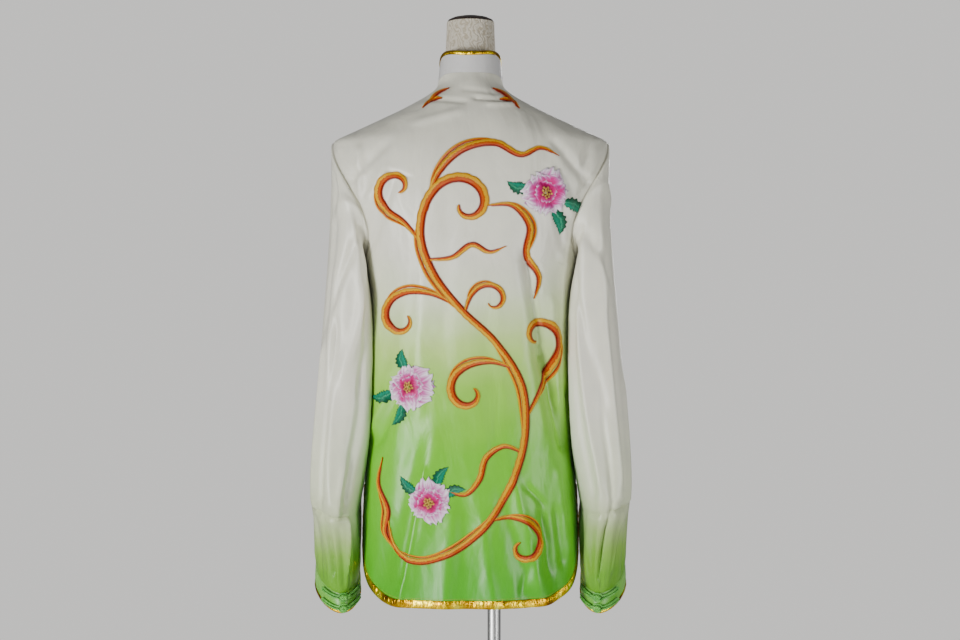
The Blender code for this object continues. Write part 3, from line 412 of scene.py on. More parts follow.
def shell(name, outer, inner, paint, closed=False):
    """A closed sheet from grids of outer and inner points; closed joins its sides to a tube."""
    rows, columns = outer.shape[:2]
    wide = columns + 1 if closed else columns
    uv = grid_uv(outer, closed).reshape(-1, 2)
    r, c = (v.ravel() for v in np.indices((rows - 1, wide - 1)))
    corners = ((r, c), (r, c + 1), (r + 1, c + 1), (r + 1, c))
    sheet_faces = np.stack([a * columns + b % columns for a, b in corners], axis=1)
    sheet_spots = np.stack([a * wide + b for a, b in corners], axis=1)
    shift = rows * columns
    faces, spots = [sheet_faces, sheet_faces + shift], [sheet_spots, sheet_spots]
    rims = [(np.full(wide - 1, k), np.arange(wide - 1), 0, 1) for k in (0, rows - 1)]
    if not closed:
        rims += [(np.arange(rows - 1), np.full(rows - 1, k), 1, 0) for k in (0, columns - 1)]
    for r, c, dr, dc in rims:
        a, b = r * columns + c % columns, (r + dr) * columns + (c + dc) % columns
        faces.append(np.stack([a, b, b + shift, a + shift], axis=1))
        a, b = r * wide + c, (r + dr) * wide + c + dc
        spots.append(np.stack([a, b, b, a], axis=1))
    points = np.concatenate([outer.reshape(-1, 3), inner.reshape(-1, 3)])
    faces, corner_uv = np.concatenate(faces).tolist(), uv[np.concatenate(spots)]
    return mesh_object(name, points, faces, paint, corner_uv, SHARP)


def settle(piece, slot, *nodes):
    """Puts a finished piece on the one body and hides the solids it stands for; the slot is not used."""
    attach(piece, "root")
    if nodes:
        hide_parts(*nodes)
    return piece


# %% [markdown]
# ## Satin
# Satin shines because its threads float over each other: smooth to the eye, soft in its
# highlights. The dye fades up the cloth, so the colour is a ramp over height whose edge wanders
# a little, as dye does. Very fine ribs of the weave and a faint crumple go into the bump.

# %% Helpers for node materials
def new_paint(name):
    paint = bpy.data.materials.new(name)
    paint.use_nodes = True
    return paint, paint.node_tree, paint.node_tree.nodes["Principled BSDF"]


def put_node(tree, kind, values=None, **settings):
    """Adds a node; values that are sockets are linked, others are set."""
    node = tree.nodes.new(kind)
    for key, value in settings.items():
        setattr(node, key, value)
    for key, value in (values or {}).items():
        if isinstance(value, bpy.types.NodeSocket):
            tree.links.new(value, node.inputs[key])
        else:
            node.inputs[key].default_value = value
    return node


def add(tree, kind, values=None, **settings):
    return put_node(tree, "ShaderNode" + kind, values, **settings)


def ramp(tree, fac, stops):
    node = add(tree, "ValToRGB", {"Fac": fac})
    while len(node.color_ramp.elements) < len(stops):
        node.color_ramp.elements.new(0.5)
    for element, (position, colour) in zip(node.color_ramp.elements, stops):
        element.position = position
        element.color = (*colour, 1)
    return node.outputs["Color"]


def set_shader(shader, **values):
    for key, value in values.items():
        shader.inputs[key.replace("_", " ")].default_value = value


def colour_by(tree, shader, fac, stops):
    tree.links.new(ramp(tree, fac, stops), shader.inputs["Base Color"])


def rough_by(tree, shader, fac, low, high):
    rough = add(tree, "MapRange", {"Value": fac, "To Min": low, "To Max": high})
    tree.links.new(rough.outputs["Result"], shader.inputs["Roughness"])


def raise_by(tree, shader, height, strength, distance):
    bump = add(tree, "Bump", {"Height": height, "Strength": strength, "Distance": distance})
    tree.links.new(bump.outputs["Normal"], shader.inputs["Normal"])


# %% The satin of the jacket
# crumples from broad to fine: cells across and down a metre, depth, share of the strength
CRUMPLES = ((7.0, 3.2, 0.016, 1.0), (19.0, 8.0, 0.006, 1.0), (55.0, 24.0, 0.0014, 0.6))
DYE_WANDER = 0.022


def satin(name, low, high, stops, crumple=0.6):
    """Satin whose colour runs through the stops from the low height to the high one: dye, and on the
    collar painted shade.
    """
    paint, tree, shader = new_paint(name)
    place = add(tree, "TexCoord").outputs["Object"]
    cloth_uv = add(tree, "UVMap", uv_map="cloth").outputs["UV"]
    z = add(tree, "SeparateXYZ", {"Vector": place}).outputs["Z"]
    cloudy = add(tree, "TexNoise", {"Vector": place, "Scale": 7.0, "Detail": 3.0})
    wander = add(tree, "MapRange", {"Value": cloudy.outputs["Fac"], "From Min": 0.3,
                                    "From Max": 0.7, "To Min": -DYE_WANDER,
                                    "To Max": DYE_WANDER})
    height = add(tree, "Math", {0: z, 1: wander.outputs["Result"]}, operation="ADD")
    share = add(tree, "MapRange", {"Value": height.outputs[0], "From Min": low, "From Max": high})
    dye = ramp(tree, share.outputs["Result"], stops)
    spots = add(tree, "TexNoise", {"Vector": place, "Scale": 38.0, "Detail": 4.0})
    tint = ramp(tree, spots.outputs["Fac"], ((0.3, (0.94, 0.94, 0.95)), (0.7, (1.0, 1.0, 1.0))))
    mix = add(tree, "Mix", data_type="RGBA", blend_type="MULTIPLY")
    mix.inputs[0].default_value = 1.0
    tree.links.new(dye, mix.inputs[6])
    tree.links.new(tint, mix.inputs[7])
    tree.links.new(mix.outputs[2], shader.inputs["Base Color"])
    rough_by(tree, shader, spots.outputs["Fac"], 0.34, 0.44)
    ribs = add(tree, "TexWave", {"Vector": cloth_uv, "Scale": 420.0, "Distortion": 0.6},
               bands_direction="Y")
    weave = add(tree, "Bump", {"Height": ribs.outputs["Fac"], "Strength": 0.10, "Distance": 0.0002})
    normal = weave.outputs["Normal"]
    for wide, tall, distance, part in CRUMPLES:
        creased = add(tree, "Mapping", {"Vector": cloth_uv, "Scale": (wide, tall, 1.0)})
        soft = add(tree, "TexNoise", {"Vector": creased.outputs[0], "Scale": 1.0, "Detail": 3.0,
                                      "Roughness": 0.4, "Distortion": 0.9})
        normal = add(tree, "Bump", {"Height": soft.outputs["Fac"], "Strength": part * crumple,
                                    "Distance": distance, "Normal": normal}).outputs["Normal"]
    tree.links.new(normal, shader.inputs["Normal"])
    set_shader(shader, Sheen_Weight=0.10, Sheen_Roughness=0.4, Specular_IOR_Level=0.45)
    return paint


GREEN_LOW, GREEN, GREEN_MID = (0.050, 0.36, 0.003), (0.145, 0.50, 0.010), (0.26, 0.56, 0.050)
GREEN_PALE, PALE = (0.41, 0.62, 0.15), (0.55, 0.67, 0.33)
# the collar's colour is painted shade: the body's white satin made darker and greyer where light falls
# off at the top
CREAM, WHITE, COLLAR_SHADED_WHITE = (0.66, 0.71, 0.50), (0.715, 0.70, 0.585), (0.60, 0.59, 0.575)
CUFF_DYE = ((0.0, (0.12, 0.42, 0.03)), (1.0, (0.27, 0.57, 0.11)))
BODY_DYE = ((0.0, GREEN_LOW), (0.42, GREEN), (0.61, GREEN_MID), (0.71, GREEN_PALE), (0.80, PALE),
            (0.885, CREAM), (1.0, WHITE))
SLEEVE_DYE = ((0.0, (0.12, 0.35, 0.012)), (0.12, (0.20, 0.40, 0.05)), (0.24, (0.33, 0.46, 0.16)),
              (0.33, (0.46, 0.53, 0.30)), (0.50, (0.63, 0.66, 0.48)), (0.72, (0.685, 0.70, 0.54)),
              (1.0, WHITE))
SATIN_BODY = satin("satin_body", 0.69, 1.16, BODY_DYE)
SATIN_SLEEVES = satin("satin_sleeves", 0.715, 0.965, SLEEVE_DYE, crumple=0.3)
# the collar satin's colour is painted shade, a darkened copy of the white satin
SATIN_COLLAR = satin("satin_collar", 0.0, 1.0, ((0.0, WHITE), (1.0, COLLAR_SHADED_WHITE)), crumple=0.15)
SATIN_CUFFS = satin("satin_cuffs", 0.680, 0.725, CUFF_DYE, crumple=0.3)
print("satin for body, sleeves, collar and cuffs")

# %% [markdown]
# ## Back and front panels
# The back is one piece with rounded lower corners and a vent at each side; the fronts meet edge
# to edge. Columns fan into the corner, so that the satin ends exactly where the gold tape starts.

# %% Rows and columns of a half panel
LOW_ROWS, SIDE_ROWS, ARM_ROWS, RIDGE_ROWS = 44, 84, 80, 36
STRAIGHT_COLUMNS, CORNER_COLUMNS = 46, 48


def hem_columns(straight, corner):
    """Shares of the straight hem, then turns round the corner; one value for each column."""
    even = np.concatenate([np.arange(straight) / straight, np.ones(corner)])
    turn = np.concatenate([np.zeros(straight), np.linspace(0, math.pi / 2, corner)])
    return even, turn


def panel_levels():
    side = np.linspace(VENT_TOP_Z + 2 * SEAM, UNDERARM_Z, SIDE_ROWS)
    arm = ARM_MIDDLE - ARM_HALF * np.cos(np.pi * np.arange(1, ARM_ROWS) / ARM_ROWS)
    return np.concatenate([side, arm, np.linspace(TIP_Z, NECK_SIDE_Z, RIDGE_ROWS)])


def half_panel(face, side):
    even, turn = hem_columns(STRAIGHT_COLUMNS, CORNER_COLUMNS)
    inset, top = CORNER_R - BIND_WIDTH - SEAM, VENT_TOP_Z + SEAM
    low = HEM_Z + CORNER_R - inset * np.cos(turn)
    rows_z = [low + (top - low) * share for share in np.linspace(0, 1, LOW_ROWS)]
    rows_s = [even * (reach(z, face) - CORNER_R) + inset * np.sin(turn) for z in rows_z]
    w = rows_s[-1] / reach(top, face)
    w[-1] = 1.0
    for level in panel_levels():
        z = row_height(level, w, face)
        rows_z.append(z)
        rows_s.append(w * reach(z, face))
    shape = (len(rows_z), len(w), 3)
    points, normals = cloth(np.concatenate(rows_z), side * np.concatenate(rows_s), face)
    return points.reshape(shape), normals.reshape(shape), neck_turn(side * w, face)


# %% Sew up the panels
halves = {(face, side): half_panel(face, side) for face in FACES for _, side in SIDES}
back_points, back_normals = (
    np.concatenate([halves[1, -1][i][:, :0:-1], halves[1, 1][i]], axis=1) for i in (0, 1))
back = settle(shell("back_satin", back_points, back_points - WALL * back_normals, SATIN_BODY),
              "satin_body", "back_panel")
fronts = []
for name, side in SIDES:
    points, normals, _ = halves[-1, side]
    points[:, 0, 0], normals[:, 0, 0] = side * FRONT_GAP, 0.0
    piece = shell(f"front_{name}_satin", points, points - WALL * normals, SATIN_BODY)
    fronts.append(settle(piece, "satin_body", "front_" + name))
print("back:", len(back.data.polygons), "faces; fronts:", [len(f.data.polygons) for f in fronts])

# %% [markdown]
# ## Sleeves
# A set-in sleeve is a tube sewn to the armhole and gathered into the cuff. The rings below run
# from the armhole down; gathers are uneven, and each sleeve gets its own diagonal folds.

# %% Folds and gathers of the sleeves
# start ring and turn, end ring and turn (degrees; 90 is the back), height, half width
SLEEVE_FOLDS = {
    1: ((6.5, 128, 12.2, 112, -0.0032, 0.0170), (2.5, 48, 6.5, 38, -0.0026, 0.0150),
        (3.0, 96, 7.5, 118, 0.0022, 0.0120), (7.5, 62, 12.3, 84, 0.0022, 0.0130),
        (1.5, 120, 6.0, 60, -0.0030, 0.0085), (2.5, 135, 8.0, 88, 0.0026, 0.0100),
        (1.2, 95, 3.8, 40, 0.0020, 0.0080), (4.5, 125, 10.5, 105, -0.0030, 0.0090),
        (7.0, 70, 12.2, 62, -0.0026, 0.0090), (8.0, 40, 12.6, 38, 0.0022, 0.0100),
        (9.0, 110, 12.8, 96, 0.0028, 0.0090), (2.0, -95, 6.5, -50, -0.0026, 0.0090),
        (5.0, -100, 11.0, -75, 0.0024, 0.0110), (8.0, -50, 12.8, -42, -0.0026, 0.0090),
        (3.0, 20, 9.0, 12, -0.0018, 0.0110), (13.0, 20, 13.3, 170, -0.0030, 0.0038),
        (13.2, -160, 13.0, -10, -0.0015, 0.0050), (12.4, 50, 12.6, 140, 0.0014, 0.0060),
        (13.4, 150, 16.0, 128, -0.0027, 0.0050), (13.5, 118, 15.6, 106, 0.0021, 0.0050),
        (13.4, 62, 15.8, 70, -0.0021, 0.0045)),
    -1: ((2.6, 128, 11.8, 118, -0.0036, 0.0170), (3.5, 66, 11.5, 58, 0.0030, 0.0150),
         (1.8, 115, 5.2, 52, -0.0028, 0.0080), (3.4, 130, 9.0, 80, -0.0024, 0.0090),
         (1.0, 80, 3.2, 30, 0.0018, 0.0080), (5.5, 115, 11.5, 98, 0.0030, 0.0100),
         (6.5, 58, 12.4, 48, -0.0030, 0.0100), (9.5, 84, 12.8, 78, -0.0022, 0.0070),
         (9.0, 24, 12.6, 30, 0.0020, 0.0090), (2.4, -80, 7.5, -48, 0.0024, 0.0100),
         (4.2, -110, 10.0, -92, -0.0026, 0.0100), (8.6, -30, 12.6, -26, -0.0022, 0.0090),
         (2.6, 10, 8.0, -4, -0.0020, 0.0120), (12.8, 25, 13.1, 170, -0.0030, 0.0038),
         (13.1, -150, 12.9, -10, -0.0015, 0.0050), (12.2, 50, 12.4, 145, 0.0014, 0.0060),
         (13.2, 140, 15.8, 122, -0.0024, 0.0050), (13.4, 84, 15.9, 92, -0.0024, 0.0050),
         (13.3, 46, 15.6, 58, 0.0019, 0.0050)),
}
GATHERS = (1.9, -2.2, 2.6, -1.4, 1.5, -2.4, 2.2, -1.8, 2.8, -2.2, 1.3, -1.6,
           2.1, -2.6, 1.7, -1.3, 2.4, -2.0, 1.6, -2.3, 2.5, -1.5, 1.8, -2.1)
RING_STEP, AROUND_RADIUS, SLEEVE_GAIN, SLEEVE_PUFF = 0.041, 0.078, 1.8, 0.0018
SLEEVE_RINGS_FINE, AROUND = 112, 2 * ARM_ROWS
# in rings: how far the ends keep their seams' direction, and where folds start, grow and stop
END_BLEND, FOLD_START, FOLD_GROWS, FOLD_STOPS = 0.8, 0.3, 1.2, 0.9
GATHER_START, GATHER_GROWS, GATHER_EASE, FINE_START, FINE_GROWS = 12.4, 2.6, 15, 14.2, 2.0
GATHER_SIZE, FINE_GATHER_SIZE = 0.001, 0.00035


def gathers(turn, seed):
    """Uneven pleats round the sleeve's end: broad ridges with narrower valleys between them."""
    rng = np.random.default_rng(seed)
    count = len(GATHERS)
    knots = (np.arange(count) + rng.uniform(-0.22, 0.22, count)) * 2 * math.pi / count
    heights = np.array(GATHERS) * rng.uniform(0.75, 1.15, count)
    i = np.searchsorted(knots, turn % (2 * math.pi)) % count
    start, end = knots[i - 1], knots[i]
    t = ((turn - start) % (2 * math.pi)) / ((end - start) % (2 * math.pi))
    t = smooth(np.clip(t, 0, 1))
    large = heights[i - 1] * (1 - t) + heights[i] * t
    return np.where(large > 0, large, large * 1.15)


def fine_gathers(turn, seed):
    rng = np.random.default_rng(seed + 7)
    total = np.zeros_like(turn)
    for waves in (17, 23, 29):
        total += np.sin(waves * turn + rng.uniform(0, 6.3)) * rng.uniform(0.7, 1.0)
    return total


# %% The plain sleeve, its folds and the gap to the body
def sleeve_ring(k, turn):
    ox, oz, ix, iz, deep_back, deep_front, pull, fall, slant, power = (
        curve(k, SLEEVE, column) for column in range(1, 11))
    c, s = np.cos(turn), np.sin(turn)
    y = np.sign(s) * np.abs(s) ** power * np.where(s > 0, deep_back, deep_front)
    x = (ox + ix) / 2 + np.sign(c) * np.abs(c) ** power * (ox - ix) / 2 - pull * s * s + slant * y
    return np.stack([x, y, (oz + iz) / 2 + c * (oz - iz) / 2 + fall * y], axis=-1)


def sleeve_folds(k, turn, side):
    total = np.zeros(np.broadcast(k, turn).shape)
    for k0, t0, k1, t1, height, width in SLEEVE_FOLDS[side]:
        t0, t1 = math.radians(t0), math.radians(t1)
        middle = (t0 + t1) / 2
        near = middle + (turn - middle + math.pi) % (2 * math.pi) - math.pi
        dx, dz = (t1 - t0) * AROUND_RADIUS, (k1 - k0) * RING_STEP
        px, pz = (near - t0) * AROUND_RADIUS, (k - k0) * RING_STEP
        total += ridge(px, pz, dx, dz, height, width)
    return total


def clear_of_body(points):
    """Pushes sleeve points outward where they would enter the body's cloth."""
    x, y, z = points[..., 0], points[..., 1], points[..., 2]
    low_z = np.minimum(z, TIP_Z)
    hole = np.where(y > 0, armhole_y(low_z, 1), armhole_y(low_z, -1))
    free = (z > UNDERARM_Z) & (np.abs(y) < hole)
    deep = np.where(y > 0, curve(z, BODY, 2), curve(z, BODY, 3))
    share = np.minimum(np.abs(y) / deep, 1.0)
    side = curve(z, BODY, 1) * (1 - share**BODY_POWER) ** (1 / BODY_POWER) + BODY_CLEAR
    points[..., 0] = np.where(free, x, np.maximum(x, side))
    return points


def edge_ring(points, normals, closed):
    """Outer and inner points one seam's gap beyond an edge, in the cloth's surface."""
    along = (np.roll(points, -1, axis=0) - np.roll(points, 1, axis=0)) if closed else (
        np.gradient(points, axis=0))
    away = unit(np.cross(along, normals))
    return points + SEAM * away, points - WALL * normals + SEAM * away, away


def level_normals(ring):
    along = np.roll(ring, -1, axis=0) - np.roll(ring, 1, axis=0)
    out = unit(np.stack([along[:, 1], -along[:, 0], np.zeros(len(ring))], axis=1))
    return out if (out * (ring - ring.mean(axis=0))).sum() > 0 else -out


# %% Set in both sleeves
low = LOW_ROWS + SIDE_ROWS - 1
arm_back_p, arm_back_n = (grid[low:low + ARM_ROWS + 1, -1] for grid in halves[1, 1][:2])
arm_front_p, arm_front_n = (grid[low:low + ARM_ROWS + 1, -1] for grid in halves[-1, 1][:2])
arm_points = np.concatenate([arm_back_p[::-1], arm_front_p[1:-1]])
arm_normals = np.concatenate([arm_back_n[::-1], arm_front_n[1:-1]])
arm_points[[0, ARM_ROWS], 1] = 0.0
arm_normals[[0, ARM_ROWS], 1] = 0.0
arm_normals = unit(arm_normals)
arm_outer, arm_inner, _ = edge_ring(arm_points, arm_normals, closed=True)
turns = 2 * math.pi * np.arange(AROUND) / AROUND
rings = np.linspace(0, SLEEVE_RINGS, SLEEVE_RINGS_FINE)[:, None]


def sleeve_sheet(side):
    plain = sleeve_ring(*np.broadcast_arrays(rings, turns))
    plain += (arm_outer - plain[0]) * (1 - smooth(rings / ARM_BLEND))[..., None]
    plain[1:] = clear_of_body(plain[1:])
    down = np.gradient(plain, axis=0)
    normals = unit(np.cross(np.roll(plain, -1, axis=1) - np.roll(plain, 1, axis=1), down))
    middle = len(plain) // 2
    if (normals[middle] * (plain[middle] - plain[middle].mean(axis=0))).sum() < 0:
        normals = -normals
    start = smooth(rings / END_BLEND)[..., None]
    end = smooth((rings - SLEEVE_RINGS + END_BLEND) / END_BLEND)[..., None]
    normals = unit(unit(arm_outer - arm_inner) * (1 - start) + normals * start)
    normals = unit(normals * (1 - end) + level_normals(plain[-1]) * end)
    own = smooth((rings - FOLD_START) / FOLD_GROWS) * smooth((SLEEVE_RINGS - rings) / FOLD_STOPS)
    inner_side = smooth((np.cos(turns) + 0.75) / 0.5) * 0.85 + 0.15
    gathered = smooth((rings - GATHER_START) / GATHER_GROWS) * (1 - 0.35 * smooth(rings - GATHER_EASE))
    closing = smooth((rings - FINE_START) / FINE_GROWS)
    height = SLEEVE_GAIN * sleeve_folds(rings, turns, side) * inner_side
    height += GATHER_SIZE * gathers(turns + 0.12 * side, 20 + side) * gathered
    height += FINE_GATHER_SIZE * fine_gathers(turns, 40 + side) * closing
    puff = SLEEVE_PUFF * smooth(rings / 0.25) * (1 - smooth((rings - 0.3) / 1.3))
    outer = plain + normals * (height * own + puff)[..., None]
    return outer, outer - WALL * normals


for name, side in SIDES:
    outer, inner = (grid * MIRROR[side] for grid in sleeve_sheet(side))
    piece = shell(f"sleeve_{name}_satin", outer, inner, SATIN_SLEEVES, closed=True)
    settle(piece, "satin_sleeves", "sleeve_" + name)

# %% [markdown]
# ## Cuffs and collar
# The cuff is a firm narrow band; it hangs lower at the back corner, where its two frogs close.
# The stand collar starts in the neckline's slope and turns upright within its first few rows.

# %% Cuffs
CUFF_ROLL, PUCKER, PUCKER_REACH = 0.0009, 0.0004, 0.004


def cuff_point(turn, down):
    """Points of the cuff from their turns round it and how far down from the sleeve they are."""
    point, down = sleeve_ring(float(SLEEVE_RINGS), np.asarray(turn, float)), np.asarray(down, float)
    centre = np.array([(SLEEVE[-1, 1] + SLEEVE[-1, 3]) / 2, 0.0])
    flare = (1 + CUFF_FLARE * down / CUFF_HEIGHT)[..., None]
    point[..., :2] = centre + (point[..., :2] - centre) * flare
    point[..., 2] -= down
    return point


cuff_rows = np.linspace(SEAM, CUFF_HEIGHT, 14)
cuff_grid = np.array([cuff_point(turns, d) for d in cuff_rows])
cuff_out = level_normals(cuff_grid[0])
roll = CUFF_ROLL * np.sin(np.pi * (cuff_rows - SEAM) / (CUFF_HEIGHT - SEAM))[:, None, None]
pucker = np.random.default_rng(5).uniform(-1, 1, (2, AROUND))
pucker = (pucker + np.roll(pucker, 1, 1) + np.roll(pucker, -1, 1)) / 3
for name, side in SIDES:
    near_top = np.exp(-(cuff_rows / PUCKER_REACH) ** 2)[:, None] * pucker[(side + 1) // 2] * PUCKER
    outer = cuff_grid + (roll + near_top[..., None]) * cuff_out
    piece = shell(f"cuff_{name}_satin", outer * MIRROR[side],
                  (outer - WALL * cuff_out) * MIRROR[side], SATIN_CUFFS, closed=True)
    settle(piece, "satin_cuffs", "cuff_" + name)
print("cuff girth", round(float(arc_length(cuff_grid[0])[-1]), 3), "m")


# %% Stand collar
def neck_edge():
    """The panels' top edge from the right front's centre, round the back, to the left front's."""
    parts = []
    for face, side, step in ((-1, -1, 1), (1, -1, -1), (1, 1, 1), (-1, 1, -1)):
        points, normals, turn = halves[face, side]
        part = [values[::step] for values in (points[-1], normals[-1], turn)]
        if face < 0:
            part = [v[:-1] if step > 0 else v[1:] for v in part]
        parts.append([v[1:] for v in part] if (face, side) == (1, 1) else part)
    return [np.concatenate([part[i] for part in parts]) for i in range(3)]


edge, edge_n, edge_turns = neck_edge()
collar_low, collar_low_in, away = edge_ring(edge, edge_n, closed=False)
if away[len(away) // 2][1] > 0:
    collar_low, collar_low_in = collar_low - 2 * SEAM * away, collar_low_in - 2 * SEAM * away
collar_top = loop_point(COLLAR_TOP, edge_turns)
collar_top[[0, -1], 0] = collar_low[[0, -1], 0]
rise = collar_top - collar_low
collar_n = unit(np.cross(np.gradient(collar_low, axis=0), rise))
if collar_n[len(collar_n) // 2][1] < 0:
    collar_n = -collar_n
collar_height = np.linalg.norm(rise, axis=1)
collar_end = 1 - (COLLAR_BIND + SEAM) / collar_height
rows_out, rows_in = [collar_low], [collar_low_in]
for share in np.linspace(0.06, 1.0, 14):
    upright = float(np.interp(share, (0, 0.16, 0.5, 1.0), (0, 0.6, 1, 1)))
    normal = unit((1 - upright) * edge_n + upright * collar_n)
    row = collar_low + rise * (collar_end * share)[:, None]
    rows_out.append(row)
    rows_in.append(row - WALL * normal)
collar = settle(shell("collar_satin", np.array(rows_out), np.array(rows_in), SATIN_COLLAR),
                "satin_collar", "collar")
print("collar height at the back", round(float(collar_height[len(collar_height) // 2]), 4), "m")

# %% [markdown]
# ## Gold tape
# The hem, vents, collar and cuffs are bound with gold lame: metal thread woven so loosely that it
# crinkles across its width. The tape is a crowned strip with short uneven ridges across it.

# %% Gold lame
def lame(name):
    paint, tree, shader = new_paint(name)
    cloth_uv = add(tree, "UVMap", uv_map="cloth").outputs["UV"]
    place = add(tree, "TexCoord").outputs["Object"]
    patches = add(tree, "TexNoise", {"Vector": place, "Scale": 60.0, "Detail": 5.0})
    colour_by(tree, shader, patches.outputs["Fac"], (
        (0.28, (0.32, 0.13, 0.0)), (0.44, (0.60, 0.33, 0.0)),
        (0.58, (0.86, 0.60, 0.0)), (0.72, (1.0, 0.90, 0.08))))
    rough_by(tree, shader, patches.outputs["Fac"], 0.20, 0.40)
    across = add(tree, "Mapping", {"Vector": cloth_uv, "Scale": (250.0, 60.0, 1.0)})
    creases = add(tree, "TexNoise", {"Vector": across.outputs[0], "Scale": 1.0, "Detail": 3.0,
                                     "Distortion": 1.2})
    raise_by(tree, shader, creases.outputs["Fac"], 0.9, 0.0016)
    set_shader(shader, Metallic=1.0)
    return paint


GOLD = lame("gold_lame")
CRINKLE_EVERY, TAPE_CROWN = 0.0035, 0.0010


def tape(name, lines, normals, nodes, seed):
    """A crowned, crinkled strip through lines of points; the first line is its inner edge."""
    lines, normals = np.array(lines), np.array(normals)
    rows, columns = lines.shape[:2]
    along = arc_length(lines[rows // 2])
    t = np.linspace(0, 1, rows)[:, None]
    rng = np.random.default_rng(seed)
    crinkle = np.zeros((rows, columns))
    for _ in range(int(along[-1] / CRINKLE_EVERY)):
        place, lean = rng.uniform(0, along[-1]), rng.uniform(-0.5, 0.5) * BIND_WIDTH
        height, wide = rng.uniform(-0.00050, 0.00055), rng.uniform(0.0007, 0.0016)
        middle, reach_across = rng.uniform(0.1, 0.9), rng.uniform(0.25, 0.6)
        far = (along - place + lean * (t - 0.5)) / wide
        crinkle += height * np.exp(-far**2 - ((t - middle) / reach_across) ** 2)
    crown = TAPE_CROWN * np.sin(np.pi * t) ** 0.7
    outer = lines + (BIND_EXTRA + crown + crinkle * np.sin(np.pi * t) ** 0.5)[..., None] * normals
    inner = lines - (WALL + BIND_EXTRA) * normals
    return settle(shell(name, outer, inner, GOLD), "gold_binding", *nodes)


# %% Tape round the hem and the vents
TAPE_ROWS, TAPE_STRAIGHT, TAPE_CORNER = 9, 60, 70


def hem_line(face, side, radius):
    even, turn = hem_columns(TAPE_STRAIGHT, TAPE_CORNER)
    z = HEM_Z + CORNER_R - radius * np.cos(turn)
    s = even * (reach(z, face) - CORNER_R) + radius * np.sin(turn)
    up = np.linspace(HEM_Z + CORNER_R, VENT_TOP_Z, 16)[1:]
    z = np.concatenate([z, up])
    s = np.concatenate([s, reach(up, face) - CORNER_R + radius])
    return cloth(z, side * s, face)


radii = np.linspace(CORNER_R - BIND_WIDTH, CORNER_R, TAPE_ROWS)
lines = {(face, side): [hem_line(face, side, r) for r in radii]
         for face in FACES for _, side in SIDES}
both = [[np.concatenate([a[i][:0:-1], b[i]]) for a, b in zip(lines[1, -1], lines[1, 1])]
        for i in (0, 1)]
hem_tapes = [tape("hem_tape_back", both[0], both[1], ["hem_binding_back"], 11)]
for name, side in SIDES:
    strip = [[line[i].copy() for line in lines[-1, side]] for i in (0, 1)]
    for points, normals in zip(*strip):
        points[0, 0], normals[0, 0] = side * FRONT_GAP, 0.0
    hem_tapes.append(tape("hem_tape_front_" + name, strip[0], strip[1],
                          ["hem_binding_front_" + name], 12 + side))
print("hem tapes:", [len(t.data.polygons) for t in hem_tapes], "faces")

# %% Tape on the collar's top and the cuffs' lower edge
steps = np.linspace(0, 1, 7)
low = collar_low + rise * (1 - COLLAR_BIND / collar_height)[:, None]
collar_tape = tape("collar_tape", [low + (collar_top - low) * t for t in steps],
                   [collar_n] * len(steps), ["collar_binding"], 15)
bind_grid = np.array([cuff_point(turns, CUFF_HEIGHT + SEAM + (CUFF_BIND - SEAM) * t) for t in steps])
round_over = 0.0006 * np.sin(np.pi * steps)[:, None, None]
wrinkled = np.random.default_rng(16).uniform(-0.00018, 0.00018, (1, AROUND, 1))
for name, side in SIDES:
    outer = bind_grid + (BIND_EXTRA + round_over + wrinkled * np.sign(round_over)) * cuff_out
    inner = bind_grid - (WALL + BIND_EXTRA) * cuff_out
    piece = shell("cuff_tape_" + name, outer * MIRROR[side], inner * MIRROR[side], GOLD, closed=True)
    settle(piece, "gold_binding", "cuff_binding_" + name)

# %% [markdown]
# ## Frogs
# A frog is a doubled cord of covered satin: one end opens into a ring, the other carries a
# button knotted from the same cord. Each is swept along its own path, and the cord's twist is in
# the material. Seven close the front, two close each cuff.

# %% Cord and its sweep
BAR_LENGTH, FROG_LIFT, CORD_HALF, CORD_APART = 0.040, 0.0006, 0.0014, 0.0018
RING_R, KNOT_R = 0.0070, 0.0048
FRONT_FROGS = (1.3120, 1.2270, 1.1420, 1.0570, 0.9720, 0.8870, 0.8020)
CUFF_BAR_LENGTH, CUFF_RING_R, CUFF_KNOT_R = 0.026, 0.0052, 0.0037
LOOP_START, KNOT_START, CUFF_KNOT_START = 0.002, 0.004, 0.003
CUFF_FROG_HEIGHTS, CUFF_CORNER = (0.0055, 0.0200), math.radians(96)


def cord_paint():
    paint, tree, shader = new_paint("covered_cord")
    cloth_uv = add(tree, "UVMap", uv_map="cloth").outputs["UV"]
    place = add(tree, "TexCoord").outputs["Object"]
    shade = add(tree, "TexNoise", {"Vector": place, "Scale": 140.0, "Detail": 3.0})
    colour_by(tree, shader, shade.outputs["Fac"], (
        (0.3, (0.050, 0.30, 0.025)), (0.55, (0.115, 0.44, 0.05)), (0.8, (0.22, 0.57, 0.11))))
    turned = add(tree, "Mapping", {"Vector": cloth_uv, "Rotation": (0.0, 0.0, 0.7)})
    twist = add(tree, "TexWave", {"Vector": turned.outputs[0], "Scale": 190.0, "Distortion": 0.5})
    raise_by(tree, shader, twist.outputs["Fac"], 0.5, 0.0004)
    set_shader(shader, Roughness=0.42, Sheen_Weight=0.2, Sheen_Roughness=0.4)
    return paint


CORD = cord_paint()


